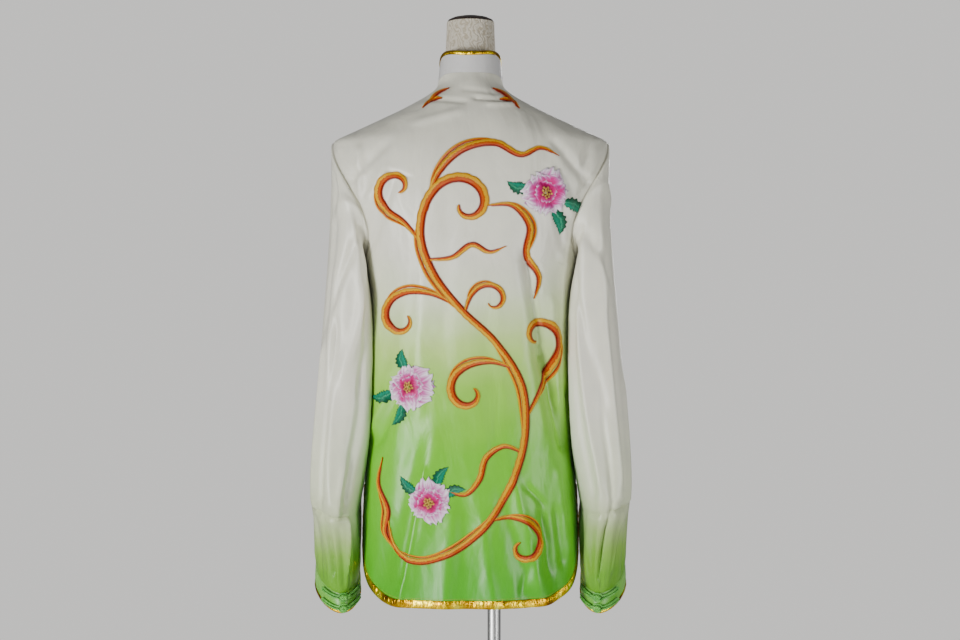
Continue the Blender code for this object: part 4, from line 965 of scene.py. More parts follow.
def sweep(path, radius, sides=8, closed=False):
    """Points, faces and face UVs of a round cord along a path."""
    path = np.asarray(path, float)
    along = (np.roll(path, -1, 0) - np.roll(path, 1, 0)) if closed else np.gradient(path, axis=0)
    along = unit(along)
    across = [unit(np.cross(along[0], (0.31, 0.42, 0.85)))]
    for direction in along[1:]:
        across.append(unit(across[-1] - direction * (across[-1] @ direction)))
    across = np.array(across)
    other = np.cross(along, across)
    turn = 2 * math.pi * np.arange(sides) / sides
    radius = np.broadcast_to(radius, len(path))[:, None, None]
    points = path[:, None] + radius * (np.cos(turn)[None, :, None] * across[:, None]
                                       + np.sin(turn)[None, :, None] * other[:, None])
    rows = len(path)
    r, c = (v.ravel() for v in np.indices((rows if closed else rows - 1, sides)))
    corners = ((r, c), (r, c + 1), (r + 1, c + 1), (r + 1, c))
    quads = np.stack([(a % rows) * sides + b % sides for a, b in corners], axis=1).tolist()
    length = arc_length(path)
    length = np.append(length, length[-1] + (length[-1] / rows))
    girth = 2 * math.pi * float(radius[0, 0, 0]) / sides
    uv = [(length[a], b * girth) for pack in zip(*[zip(a, b) for a, b in corners]) for a, b in pack]
    points = points.reshape(-1, 3)
    if not closed:
        for start, first in ((0, path[0]), (rows - 1, path[-1])):
            points = np.concatenate([points, first[None]])
            tip = len(points) - 1
            for side in range(sides):
                quads.append([start * sides + side, start * sides + (side + 1) % sides, tip])
                uv += [(0.0, 0.0)] * 3
    return points, quads, uv


def joined(name, parts, paint):
    """One object from several (points, faces, face UVs)."""
    points, faces, uv, count = [], [], [], 0
    for part_points, part_faces, part_uv in parts:
        points.append(part_points)
        faces += [[i + count for i in face] for face in part_faces]
        uv += part_uv
        count += len(part_points)
    return mesh_object(name, np.concatenate(points), faces, paint, uv)


# %% Paths of the loop and the knot
def cord_loop(name, place, start, length, ring):
    """A doubled bar of cord that opens into a ring; place lays it on the cloth."""
    neck = math.asin(min(CORD_APART / ring, 1.0))
    bar = np.linspace(start + length, start, 14)
    path = [(s, CORD_APART) for s in bar]
    path += [(ring * math.cos(a), ring * math.sin(a))
             for a in np.linspace(neck, 2 * math.pi - neck, 26)]
    path += [(s, -CORD_APART) for s in bar[::-1]]
    tip = np.linspace(-math.pi / 2, math.pi / 2, 7)[1:-1]
    path += [(start + length + CORD_APART * math.cos(a), CORD_APART * math.sin(a)) for a in tip]
    s, up = np.array(path).T
    return joined(name, [sweep(place(s, up, FROG_LIFT + CORD_HALF), CORD_HALF, closed=True)], CORD)


def cord_knot(name, place, start, length, ring, knot):
    """A doubled bar of cord that climbs over the ring and ends in a woven ball."""
    over, low = FROG_LIFT + 3 * CORD_HALF + SEAM, FROG_LIFT + CORD_HALF
    centre = max(over, knot + FROG_LIFT)
    stations = np.array([(start + length, low), (start + length / 2, low), (start + ring * 0.1, low),
                         (ring + CORD_HALF, over), (knot * 0.7, centre)])
    t = np.linspace(0, 4, 30)
    s, lift = (np.interp(t, range(5), stations[:, i]) for i in (0, 1))
    cords = []
    for side in (1, -1):
        apart = side * CORD_APART * np.interp(t, (0, 2, 3, 4), (1, 1, 0.75, 0.75))
        cords.append(sweep(place(s, apart, lift), CORD_HALF))
    turn = np.linspace(0, 2 * math.pi, 96, endpoint=False)
    tall, cord = knot * 0.72, knot * 0.36
    away, tilt = tall * (1 + 0.16 * np.sin(10 * turn)), 0.9 * np.sin(5 * turn)
    level = away * np.cos(tilt)
    ball = place(level * np.cos(3 * turn), level * np.sin(3 * turn), centre + away * np.sin(tilt))
    cords.append(sweep(ball, cord, closed=True))
    core = np.linspace(-1, 1, 9)
    girth = np.sqrt(np.clip(1 - core**2, 0.02, 1)) * tall * 0.85
    cords.append(sweep(place(core * tall * 0.85, 0 * core, centre + 0 * core), girth))
    return joined(name, cords, CORD)


# %% Frogs of the front and of the cuffs
def on_front(side, height):
    def place(s, up, lift):
        s = np.where(np.abs(s) < FRONT_GAP, np.copysign(FRONT_GAP, s), s)
        return cloth(height + up, side * s, -1, np.broadcast_to(lift, np.shape(s)))[0]
    return place


def frog(where, end, loop_place, knot_place, bar, ring, knot, knot_start):
    """A loop on one side of an opening and its button on the other."""
    loop = cord_loop(f"{where}_loop_cord_{end}", loop_place, ring + LOOP_START, bar, ring)
    settle(loop, "green_cord", f"{where}_loop_{end}")
    button = cord_knot(f"{where}_knot_cord_{end}", knot_place, ring + knot_start, bar, ring, knot)
    settle(button, "green_cord", f"{where}_knot_{end}")
    return [loop, button]


frogs = []
for number, height in enumerate(FRONT_FROGS, start=1):
    frogs += frog("front", number, on_front(1, height), on_front(-1, height),
                  BAR_LENGTH, RING_R, KNOT_R, KNOT_START)

ring_turns = np.linspace(0, 2 * math.pi, 721)
ring_arc = arc_length(cuff_point(ring_turns, 0.0))
corner_arc = float(np.interp(CUFF_CORNER, ring_turns, ring_arc))
CUFF_CENTRE, CUFF_STEP, CUFF_FROG_LIFT = np.array([0.1855, 0.0, 0.7000]), 0.004, BIND_EXTRA + 0.0009


def on_cuff(way, side, height):
    """Lays a frog from the cuff's corner: way 1 or -1 round the ring, side picks the arm."""
    def turned(arc):
        return np.interp((corner_arc + arc) % ring_arc[-1], ring_arc, ring_turns)

    def place(s, up, lift):
        arc = way * np.asarray(s, float)
        here = cuff_point(turned(arc), height - np.broadcast_to(up, arc.shape))
        along = cuff_point(turned(arc + CUFF_STEP), 0.0) - cuff_point(turned(arc - CUFF_STEP), 0.0)
        out = unit(np.stack([along[:, 1], -along[:, 0], 0 * arc], axis=-1))
        facing = (out * (here - CUFF_CENTRE)).sum(axis=-1, keepdims=True)
        out = out * np.where(facing < 0, -1.0, 1.0)
        lift = np.broadcast_to(lift, arc.shape)[:, None] + CUFF_FROG_LIFT
        return (here + out * lift) * MIRROR[side]
    return place


for name, side in SIDES:
    for number, height in enumerate(CUFF_FROG_HEIGHTS, start=1):
        frogs += frog("cuff", f"{name}_{number}", on_cuff(-1, side, height), on_cuff(1, side, height),
                      CUFF_BAR_LENGTH, CUFF_RING_R, CUFF_KNOT_R, CUFF_KNOT_START)
print(len(frogs), "loops and knots,", sum(len(f.data.polygons) for f in frogs), "faces")

# %% [markdown]
# ## Raised embroidery
# The back carries padded satin stitch: ribbons of shaded thread from yellow through orange to
# dark red that curl into scroll heads, with layered blossoms and leaves between them. The layout
# is a free one. A ribbon is a closed, crowned strip laid on the cloth's own surface, so it dips
# into every fold. Places are given as metres to the right of the centre, seen from behind, and
# height.

# %% Places on the back
def on_back(right, z, lift):
    """Points above the back's cloth at places to the right of the centre, seen from behind."""
    right, z, lift = np.broadcast_arrays(*(np.asarray(v, float) for v in (right, z, lift)))
    _, _, xs, _, arc = section(z.ravel(), 1)
    s = between(np.abs(right.ravel()), xs, arc)[0]
    points, _ = cloth(z.ravel(), -np.sign(right.ravel()) * s, 1, lift.ravel())
    return points.reshape(right.shape + (3,))


def spline(knots, count):
    """A smooth curve through rows of values, evenly stepped along its first two columns."""
    knots = np.asarray(knots, float)
    way = arc_length(knots[:, :2])
    table = np.column_stack([way, knots])
    fine = np.linspace(0, way[-1], count * 4)
    line = np.stack([curve(fine, table, c) for c in range(1, table.shape[1])], axis=1)
    step = arc_length(line[:, :2])
    even = np.linspace(0, step[-1], count)
    columns = [np.interp(even, step, line[:, c]) for c in range(line.shape[1])]
    return np.stack(columns, axis=1), step[-1]


def stepped(knots, step):
    """The spline through the knots with a point about every step, and its length."""
    _, length = spline(knots, 8)
    return spline(knots, max(8, int(length / step)))


def sideways(line):
    """Directions to the right of a line on the back, at each of its points."""
    along = unit(np.gradient(line[:, :2], axis=0))
    return np.stack([along[:, 1], -along[:, 0]], axis=1)


# %% Thread materials
def thread_paint(name, stops, u_scale=1.0, roughness=0.32):
    """Shaded thread: the ramp runs across the ribbon and its edge is broken thread by thread."""
    paint, tree, shader = new_paint(name)
    uv = add(tree, "UVMap", uv_map="cloth").outputs["UV"]
    u = add(tree, "SeparateXYZ", {"Vector": uv}).outputs["X"]
    strands = add(tree, "Mapping", {"Vector": uv, "Scale": (1.2, 900.0, 1.0)})
    broken = add(tree, "TexNoise", {"Vector": strands.outputs[0], "Scale": 1.0, "Detail": 2.0})
    ragged = add(tree, "MapRange", {"Value": broken.outputs["Fac"], "From Min": 0.3,
                                    "From Max": 0.7, "To Min": -0.11, "To Max": 0.11})
    across = add(tree, "Math", {0: u, 1: ragged.outputs["Result"]}, operation="ADD")
    colour_by(tree, shader, across.outputs[0], stops)
    slanted = add(tree, "Mapping", {"Vector": uv, "Scale": (0.0035 * u_scale, 1.0, 1.0)})
    ribs = add(tree, "TexWave", {"Vector": slanted.outputs[0], "Scale": 480.0, "Distortion": 1.5,
                                 "Detail": 1.0}, bands_direction="Y")
    raise_by(tree, shader, ribs.outputs["Fac"], 0.55, 0.0004)
    set_shader(shader, Roughness=roughness, Specular_IOR_Level=0.22)
    return paint


YELLOW, AMBER, ORANGE = (0.66, 0.34, 0.0), (0.50, 0.19, 0.0), (0.48, 0.062, 0.0)
SALMON = (0.53, 0.10, 0.004)
RED, DARK_RED = (0.34, 0.012, 0.0), (0.16, 0.004, 0.0)
SCROLL_THREAD = thread_paint("scroll_thread", (
    (0.02, AMBER), (0.10, YELLOW), (0.40, YELLOW), (0.47, RED), (0.54, ORANGE), (0.70, SALMON),
    (0.84, RED), (0.94, DARK_RED)))
PETAL_THREAD = thread_paint("petal_thread", (
    (0.10, (0.16, 0.001, 0.03)), (0.42, (0.42, 0.003, 0.10)), (0.60, (0.50, 0.02, 0.19)),
    (0.72, (0.50, 0.12, 0.34)), (0.82, (0.66, 0.42, 0.60)), (0.90, (0.76, 0.70, 0.76)),
    (0.965, (0.76, 0.70, 0.76)), (1.0, (0.36, 0.10, 0.32))), 0.6)
LEAF_THREAD = thread_paint("leaf_thread", (
    (0.05, (0.001, 0.05, 0.02)), (0.42, (0.002, 0.14, 0.07)), (0.47, (0.06, 0.42, 0.22)),
    (0.53, (0.002, 0.12, 0.06)), (0.80, (0.006, 0.26, 0.15)), (0.95, (0.002, 0.10, 0.05))), 0.6)

# %% Scrolls
# stem (right, height, half width in mm), radius and turn of the curl, side of the dark edge
SCROLLS = (
    (((-0.112, 0.802, 0.6), (-0.105, 0.768, 2.2), (-0.076, 0.748, 3.4), (-0.030, 0.757, 3.8),
      (0.016, 0.790, 4.0), (0.054, 0.848, 4.3), (0.074, 0.918, 4.2), (0.068, 0.985, 3.9),
      (0.034, 1.040, 3.8), (-0.012, 1.084, 4.0), (-0.050, 1.134, 4.4), (-0.066, 1.186, 4.8),
      (-0.054, 1.234, 5.2)), 0.052, -350, 1),
    (((0.074, 0.936, 1.0), (0.092, 0.972, 2.8), (0.110, 1.006, 3.8), (0.119, 1.040, 4.4)),
     0.030, 300, -1),
    (((-0.020, 1.090, 1.0), (-0.056, 1.106, 3.0), (-0.090, 1.106, 4.2)), 0.037, 310, -1),
    (((0.028, 0.803, 1.0), (0.058, 0.806, 2.8), (0.084, 0.794, 3.9)), 0.032, -310, 1),
    (((-0.064, 1.172, 1.0), (-0.088, 1.200, 2.8), (-0.116, 1.222, 4.0)), 0.032, -310, 1),
    (((-0.058, 1.214, 1.2), (-0.044, 1.262, 3.4), (-0.008, 1.298, 4.4), (0.034, 1.306, 4.2),
      (0.070, 1.290, 3.2), (0.094, 1.300, 2.3), (0.120, 1.290, 0.6)), 0.0, 0, 1),
    (((0.062, 1.004, 1.0), (0.026, 1.014, 3.0), (-0.008, 1.006, 4.2)), 0.036, 310, -1),
    (((0.071, 0.892, 1.0), (0.046, 0.901, 2.6), (0.022, 0.886, 3.4), (0.012, 0.856, 3.2),
      (-0.006, 0.837, 2.4), (-0.034, 0.843, 0.6)), 0.0, 0, -1),
    (((-0.094, 0.754, 1.0), (-0.115, 0.780, 2.4), (-0.112, 0.814, 3.2), (-0.124, 0.848, 2.2),
      (-0.118, 0.884, 0.6)), 0.0, 0, 1),
    (((0.024, 1.222, 1.0), (0.056, 1.222, 2.8), (0.079, 1.196, 4.0), (0.076, 1.158, 3.8),
      (0.093, 1.126, 2.6), (0.088, 1.098, 0.6)), 0.0, 0, 1),
    (((-0.008, 1.078, 1.0), (0.004, 1.106, 2.8)), 0.029, -310, 1),
    (((-0.058, 1.150, 1.0), (-0.024, 1.153, 2.6), (0.004, 1.170, 3.0), (0.026, 1.160, 2.0),
      (0.048, 1.168, 0.6)), 0.0, 0, -1),
    (((-0.066, 1.357, 0.6), (-0.056, 1.370, 2.4), (-0.045, 1.381, 2.6), (-0.030, 1.386, 0.6)),
     0.0, 0, 1),
    (((-0.058, 1.364, 0.8), (-0.050, 1.372, 1.8), (-0.040, 1.372, 0.6)), 0.0, 0, 1),
    (((0.068, 1.356, 0.6), (0.058, 1.369, 2.4), (0.046, 1.381, 2.6), (0.032, 1.386, 0.6)),
     0.0, 0, -1),
    (((0.060, 1.363, 0.8), (0.052, 1.371, 1.8), (0.042, 1.371, 0.6)), 0.0, 0, -1),
)
# Strands that run beside a scroll: scroll, start and end share, gap and half width in mm
STRANDS = (
    (0, 0.06, 0.30, 1.6, 1.6), (0, 0.36, 0.56, 1.4, 1.6), (0, 0.60, 0.84, 1.8, 1.9),
    (1, 0.16, 0.62, 1.6, 1.5), (2, 0.12, 0.62, 1.6, 1.6), (3, 0.14, 0.60, 1.5, 1.4),
    (4, 0.16, 0.62, 1.6, 1.5), (5, 0.12, 0.66, 1.6, 1.9), (6, 0.14, 0.62, 1.6, 1.5),
    (9, 0.14, 0.66, 1.5, 1.5), (10, 0.16, 0.60, 1.3, 1.2), (8, 0.20, 0.70, 1.2, 1.2),
)
CURL_STEP, TIGHTER, BELLY, THIN_TIP = 0.40, 0.27, 0.55, 0.78
ACROSS = np.array((-1.0, -0.86, -0.6, -0.3, 0.0, 0.3, 0.6, 0.86, 1.0))
THREAD_LIFT, TOP_LIFT, PAD, MM = 0.0003, 0.0002, 0.0013, 0.001


def with_curl(stem, radius, turn):
    """A stem and its curl as one row of knots: the spiral sets off in the stem's direction."""
    knots = list(stem)
    if not turn:
        return knots
    (x0, z0, _), (x, z, half) = knots[-2:]
    heading = math.atan2(z - z0, x - x0) + 0.25 * math.copysign(1, turn)
    count = round(math.radians(abs(turn)) / CURL_STEP)
    step = math.radians(turn) / count
    for i in range(count):
        chord = radius * math.exp(-TIGHTER * abs(step) * (i + 0.5)) * abs(step)
        x, z = x + chord * math.cos(heading + step / 2), z + chord * math.sin(heading + step / 2)
        heading += step
        t = (i + 1) / count
        knots.append((x, z, half * (1 + BELLY * math.sin(math.pi * t)) * (1 - THIN_TIP * t)))
    return knots


LINES = [with_curl(*scroll[:3]) for scroll in SCROLLS]
FLIPS = [scroll[3] for scroll in SCROLLS]
print(len(LINES), "scrolls,", len(STRANDS), "strands beside them")


# %% Padded ribbons along a spline
def scallops(v):
    """How far the pale edge bulges along a ribbon: uneven waves, as flames are drawn."""
    return 1.0 + 0.20 * np.abs(np.sin(math.pi * (v / 0.0125 + 0.25 * np.sin(v / 0.019)))) ** 0.8


def ribbon(knots, flip=1.0, step=0.0026, layer=0.0, pad=PAD, wavy=False):
    """Points, faces and UVs of one closed, crowned ribbon of satin stitch."""
    line, length = stepped(knots, step)
    side = sideways(line) * flip
    v = np.linspace(0, length, len(line))
    half = line[:, 2] * MM
    bulge = scallops(v)[:, None] if wavy else 1.0
    spread = half[:, None] * ACROSS * np.where(ACROSS < 0, bulge, 1.0)
    right = line[:, :1] + side[:, :1] * spread
    z = line[:, 1:2] + side[:, 1:] * spread
    crown = np.sqrt(np.clip(1 - ACROSS**2, 0, 1)) * pad * np.clip(half / 0.004, 0.45, 1)[:, None]
    lift = THREAD_LIFT + layer + TOP_LIFT + crown
    top = on_back(right, z, lift)
    under = on_back(right, z, np.full_like(lift, THREAD_LIFT + layer * 0.5))
    uv = np.stack(np.broadcast_arrays((ACROSS + 1) / 2, v[:, None]), axis=-1)
    return closed_patch(top, under, uv)


def closed_patch(top, under, uv):
    """Points, faces and UVs of a padded patch: a top grid and an under grid, joined at the rim."""
    rows, columns = top.shape[:2]
    shift = rows * columns
    index = np.arange(shift).reshape(rows, columns)
    corners = (index[:-1, :-1], index[:-1, 1:], index[1:, 1:], index[1:, :-1])
    quads = np.stack(corners, axis=-1).reshape(-1, 4)
    rim = np.concatenate([index[0, :], index[1:, -1], index[-1, -2::-1], index[-2:0:-1, 0]])
    around = np.stack([rim, np.roll(rim, -1), np.roll(rim, -1) + shift, rim + shift], axis=1)
    faces = np.concatenate([quads, quads + shift, around])
    corner_uv = np.concatenate([uv.reshape(-1, 2)] * 2)[faces.ravel()]
    points = np.concatenate([top.reshape(-1, 3), under.reshape(-1, 3)])
    return points, faces.tolist(), [tuple(pair) for pair in corner_uv]


def strand(knots, flip, start, end, gap, half):
    """Knots of a thin strand that leaves a scroll, runs beside it and joins it again."""
    line, _ = spline(knots, 60)
    part = line[int(start * 59):int(end * 59) + 1:3]
    t = np.linspace(0, 1, len(part))[:, None]
    away = (part[:, 2:] * 1.15 + gap + half) * MM
    spot = part[:, :2] + sideways(part) * flip * away * np.sin(np.pi * t) ** 0.55
    return np.column_stack([spot, half * (0.25 + np.sin(np.pi * t[:, 0]) ** 0.7)])


# %% Stitch the scrolls and their strands
patches = []
for number, (knots, flip) in enumerate(zip(LINES, FLIPS)):
    patches.append(ribbon(knots, flip=flip, wavy=True,
                          layer=0.0005 if number == 0 else 0.00006 * number))
for number, (of_scroll, start, end, gap, half) in enumerate(STRANDS):
    knots = strand(LINES[of_scroll], -FLIPS[of_scroll], start, end, gap, half)
    patches.append(ribbon(knots, flip=FLIPS[of_scroll], layer=0.00005 * number, pad=0.0009))
scrolls = settle(joined("embroidered_scrolls", patches, SCROLL_THREAD), None)
print(len(LINES), "scrolls,", len(scrolls.data.polygons), "faces")

# %% [markdown]
# ## Blossoms and leaves
# A blossom is built in layers, as an embroiderer works it: broad back petals first, smaller ones
# over them, each a padded patch that shades from dark at its foot to white at its rim.

# %% Petals, blossoms and leaves
PETAL_DOME, PETAL_GROOVE, GROOVE_WIDTH = 0.0011, 0.0004, 0.12


def petal(centre, angle, length, wide, layer, pale, notch=0.10):
    rows, columns = 12, 15
    t, a = np.linspace(0.0, 1.0, rows)[:, None], np.linspace(-1, 1, columns)[None, :]
    width = wide * np.sin(np.pi * np.clip(0.10 + 0.72 * t, 0, 1)) ** 0.8
    reach_out = 0.16 * length + length * 0.84 * t * (1 - notch * (1 - np.abs(a)) ** 3 * t)
    frill = 0.07 * np.sin(8.0 * a + 40.0 * angle) + 0.05 * np.sin(19.0 * a + 9.0 * angle)
    reach_out = reach_out * (1 - 0.16 * a**2 * t + frill * t**4)
    aside = width * a
    right = centre[0] + reach_out * math.cos(angle) - aside * math.sin(angle)
    z = centre[1] + reach_out * math.sin(angle) + aside * math.cos(angle)
    arch = 0.35 + 0.65 * np.sin(np.pi * np.clip(t, 0.08, 0.95))
    dome = PETAL_DOME * np.sqrt(np.clip(1 - a**2, 0, 1)) * arch
    groove = PETAL_GROOVE * np.exp(-(a / GROOVE_WIDTH) ** 2) * t
    lift = THREAD_LIFT + layer + dome - groove + TOP_LIFT
    top = on_back(right, z, lift)
    under = on_back(right, z, np.full_like(lift, THREAD_LIFT + layer * 0.5))
    shade = np.clip(pale + (1 - pale) * (t * 0.82 + 0.18 * np.abs(a) ** 3), 0, 1)
    uv = np.stack(np.broadcast_arrays(shade, a * 0.004 + angle * 0.01), axis=-1)
    return closed_patch(top, under, uv)


def leaf(foot, angle, length, wide, layer):
    knots = []
    for i, t in enumerate(np.linspace(0, 1, 15)):
        bend = 0.16 * length * math.sin(math.pi * t)
        tooth = 1 + 0.17 * (-1) ** i
        knots.append((foot[0] + t * length * math.cos(angle) - bend * math.sin(angle),
                      foot[1] + t * length * math.sin(angle) + bend * math.cos(angle),
                      max(0.4, 1000 * wide * tooth * math.sin(math.pi * (0.04 + 0.95 * t**0.8)))))
    return ribbon(knots, step=0.0009, layer=layer, pad=0.0009)


# %% Place the blossoms
# right, height, radius, turn in degrees, leaves (turn, length in radii)
BLOSSOMS = (
    (0.102, 1.240, 0.034, 12, ((-70, 1.75), (-30, 1.85), (165, 1.6))),
    (-0.082, 0.980, 0.032, 40, ((195, 1.75), (245, 1.8), (100, 1.6))),
    (-0.054, 0.826, 0.030, -15, ((62, 1.8), (20, 1.7), (140, 1.75))),
)
# petals, share of the radius, height and how pale the petal's foot is
PETAL_LAYERS = ((6, 1.0, 0.0004, 0.50), (5, 0.72, 0.0013, 0.26), (4, 0.46, 0.0021, 0.0))
petals, leaves, hearts = [], [], []
rng = np.random.default_rng(31)
for right, z, radius, turn, sprigs in BLOSSOMS:
    for layer, (count, size, lift, pale) in enumerate(PETAL_LAYERS):
        for i in range(count):
            angle = 2 * math.pi * (i + rng.uniform(-0.16, 0.16)) / count
            angle += math.radians(turn + 33 * layer)
            length = radius * size * rng.uniform(0.82, 1.14)
            wide = length * math.pi / count * rng.uniform(0.92, 1.10)
            petals.append(petal((right, z), angle, length, wide, lift + 0.0001 * (i % 2), pale))
    for angle, length in sprigs:
        angle = math.radians(angle)
        foot = (right + 0.72 * radius * math.cos(angle), z + 0.72 * radius * math.sin(angle))
        leaves.append(leaf(foot, angle, (length - 0.72) * radius, 0.24 * radius, 0.0001))
    for i in range(16):
        away, angle = 0.23 * radius * math.sqrt(i / 16), 2.4 * i
        hearts.append((right + away * math.cos(angle), z + away * math.sin(angle)))
blossoms = settle(joined("embroidered_blossoms", petals, PETAL_THREAD), None)
leaves = settle(joined("embroidered_leaves", leaves, LEAF_THREAD), None)
print(len(petals), "petals, faces:", len(blossoms.data.polygons), len(leaves.data.polygons))

# %% [markdown]
# ## Rows of stitches
# Sewing repeats the same short stitch along a line, which is work for Geometry Nodes. A line of
# points carries the cloth's outward direction; the tree spaces stitches on it, lays each one on
# the cloth as a bowed thread and turns it a little, as hand and machine both do.

# %% The stitch tree
def stitch_tree():
    tree = bpy.data.node_groups.new("row_of_stitches", "GeometryNodeTree")
    sockets = {}
    for name, kind, default in (("Line", "Geometry", None), ("Spacing", "Float", 0.003),
                                ("Stitch Length", "Float", 0.0022), ("Thread Radius", "Float", 0.0002),
                                ("Bow", "Float", 0.0003), ("Unevenness", "Float", 0.12),
                                ("Seed", "Int", 1), ("Thread", "Material", None)):
        socket = tree.interface.new_socket(name, in_out="INPUT", socket_type="NodeSocket" + kind)
        if default is not None:
            socket.default_value = default
        sockets[name] = socket.identifier
    tree.interface.new_socket("Stitches", in_out="OUTPUT", socket_type="NodeSocketGeometry")
    start, end = tree.nodes.new("NodeGroupInput"), tree.nodes.new("NodeGroupOutput")

    def put(kind, values=None, **settings):
        return put_node(tree, kind, values, **settings)

    given = start.outputs
    line = put("GeometryNodeMeshToCurve", {"Mesh": given["Line"]})
    even = put("GeometryNodeResampleCurve", {"Curve": line.outputs[0], "Length": given["Spacing"]},
               mode="LENGTH")
    half = put("ShaderNodeMath", {0: given["Stitch Length"], 1: 0.5}, operation="MULTIPLY")
    back_half = put("ShaderNodeMath", {0: half.outputs[0], 1: -1.0}, operation="MULTIPLY")
    bow = put("ShaderNodeMath", {0: given["Bow"], 1: 2.0}, operation="MULTIPLY")
    ends = [put("ShaderNodeCombineXYZ", {"X": x.outputs[0]}) for x in (back_half, half)]
    middle = put("ShaderNodeCombineXYZ", {"Z": bow.outputs[0]})
    arc = put("GeometryNodeCurveQuadraticBezier", {
        "Resolution": 4, "Start": ends[0].outputs[0], "Middle": middle.outputs[0],
        "End": ends[1].outputs[0]})
    ring = put("GeometryNodeCurvePrimitiveCircle", {"Resolution": 5, "Radius": given["Thread Radius"]})
    thread = put("GeometryNodeCurveToMesh", {"Curve": arc.outputs[0], "Profile Curve": ring.outputs[0],
                                             "Fill Caps": True})
    outward = put("GeometryNodeInputNamedAttribute", {"Name": "outward"}, data_type="FLOAT_VECTOR")
    tangent = put("GeometryNodeInputTangent")
    lay = put("FunctionNodeAxesToRotation", {0: outward.outputs["Attribute"], 1: tangent.outputs[0]},
              primary_axis="Z", secondary_axis="X")
    less = put("ShaderNodeMath", {0: given["Unevenness"], 1: -1.0}, operation="MULTIPLY")
    turn = put("FunctionNodeRandomValue", {2: less.outputs[0], 3: given["Unevenness"],
                                           "Seed": given["Seed"]}, data_type="FLOAT")
    spin = put("ShaderNodeCombineXYZ", {"Z": [s for s in turn.outputs if s.enabled][0]})
    spin_rotation = put("FunctionNodeEulerToRotation", {0: spin.outputs[0]})
    turned = put("FunctionNodeRotateRotation", {0: lay.outputs[0], 1: spin_rotation.outputs[0]},
                 rotation_space="LOCAL")
    laid = put("GeometryNodeInstanceOnPoints", {"Points": even.outputs[0], "Instance": thread.outputs[0],
                                                "Rotation": turned.outputs[0]})
    real = put("GeometryNodeRealizeInstances", {0: laid.outputs[0]})
    done = put("GeometryNodeSetMaterial", {"Geometry": real.outputs[0], "Material": given["Thread"]})
    tree.links.new(done.outputs[0], end.inputs[0])
    return tree, sockets


STITCH_TREE, STITCH_SOCKETS = stitch_tree()
print(len(STITCH_TREE.nodes), "nodes in the stitch tree")

# %% Rows of stitches and their threads
def stitches(name, lines, paint, slot, **sizes):
    """Rows of stitches along lines of (points, outward directions)."""
    points = np.concatenate([p for p, _ in lines])
    outward = np.concatenate([n for _, n in lines])
    edges, start = [], 0
    for p, _ in lines:
        edges += [(start + i, start + i + 1) for i in range(len(p) - 1)]
        start += len(p)
    mesh = bpy.data.meshes.new(name)
    mesh.from_pydata(points.tolist(), edges, [])
    layer = mesh.attributes.new("outward", "FLOAT_VECTOR", "POINT")
    layer.data.foreach_set("vector", np.asarray(outward, np.float32).ravel())
    obj = bpy.data.objects.new(name, mesh)
    bpy.context.scene.collection.objects.link(obj)
    rows = obj.modifiers.new("stitches", "NODES")
    rows.node_group = STITCH_TREE
    rows[STITCH_SOCKETS["Thread"]] = paint
    for key, value in sizes.items():
        rows[STITCH_SOCKETS[key.replace("_", " ")]] = value
    seen = obj.evaluated_get(bpy.context.evaluated_depsgraph_get())
    sewn = bpy.data.meshes.new_from_object(seen)
    obj.modifiers.clear()
    obj.data = sewn
    sewn.shade_smooth()
    print(name, len(sewn.polygons), "faces")
    return settle(obj, slot)


def plain_thread(name, colour, roughness=0.4):
    paint, tree, shader = new_paint(name)
    place = add(tree, "TexCoord").outputs["Object"]
    worn = add(tree, "TexNoise", {"Vector": place, "Scale": 300.0, "Detail": 2.0})
    darker = tuple(0.72 * c for c in colour)
    colour_by(tree, shader, worn.outputs["Fac"], ((0.35, darker), (0.65, colour)))
    twist = add(tree, "TexWave", {"Vector": place, "Scale": 500.0, "Distortion": 1.0})
    raise_by(tree, shader, twist.outputs["Fac"], 0.4, 0.0001)
    set_shader(shader, Roughness=roughness, Sheen_Weight=0.2)
    return paint


WHITE_THREAD = plain_thread("white_thread", (0.72, 0.71, 0.66))
GOLD_THREAD = plain_thread("gold_thread", (0.70, 0.42, 0.05), 0.3)
RED_THREAD = plain_thread("red_thread", (0.42, 0.03, 0.008), 0.35)
GREEN_THREAD = plain_thread("green_thread", (0.10, 0.34, 0.08))

# %% Outline stitch round the scrolls
OUTLINE_STEP, OUTLINE_GAP, THINNEST, HEART_LIFT = 0.003, 0.0006, 1.2, 0.0036


def standing(right, z, lift):
    """Points above the back, and the cloth's outward direction at each."""
    low, high = on_back(right, z, lift), on_back(right, z, lift + MM)
    return low, unit(high - low)


def outline(knots, side, flip):
    line, length = stepped(knots, OUTLINE_STEP)
    bulge = scallops(np.linspace(0, length, len(line)))[:, None] if side < 0 else 1.0
    away = sideways(line) * flip * side
    spot = line[:, :2] + away * (line[:, 2:] * MM * bulge + OUTLINE_GAP)
    return standing(*spot[line[:, 2] > THINNEST].T, THREAD_LIFT)


for name, side, thread, radius, seed in (("dark", 1, RED_THREAD, 0.00028, 3),
                                         ("gold", -1, GOLD_THREAD, 0.00026, 4)):
    rows = [outline(knots, side, flip) for knots, flip in zip(LINES, FLIPS)]
    stitches(name + "_outline_stitches", rows, thread, None, Spacing=0.0030,
                             Stitch_Length=0.0036, Thread_Radius=radius, Bow=0.0005,
                             Unevenness=0.16, Seed=seed)

# %% Knots in the hearts of the blossoms
heart_lines = []
for right, z in hearts:
    for angle in (0.2, 1.25, 2.3):
        spread = 0.0007 * np.array((-1, 1))
        heart_lines.append(standing(right + spread * math.cos(angle), z + spread * math.sin(angle),
                                    HEART_LIFT))
heart_knots = stitches("blossom_knots", heart_lines, GOLD_THREAD, None, Spacing=0.0008,
                       Stitch_Length=0.0016, Thread_Radius=0.00036, Bow=0.0006, Unevenness=0.6, Seed=5)

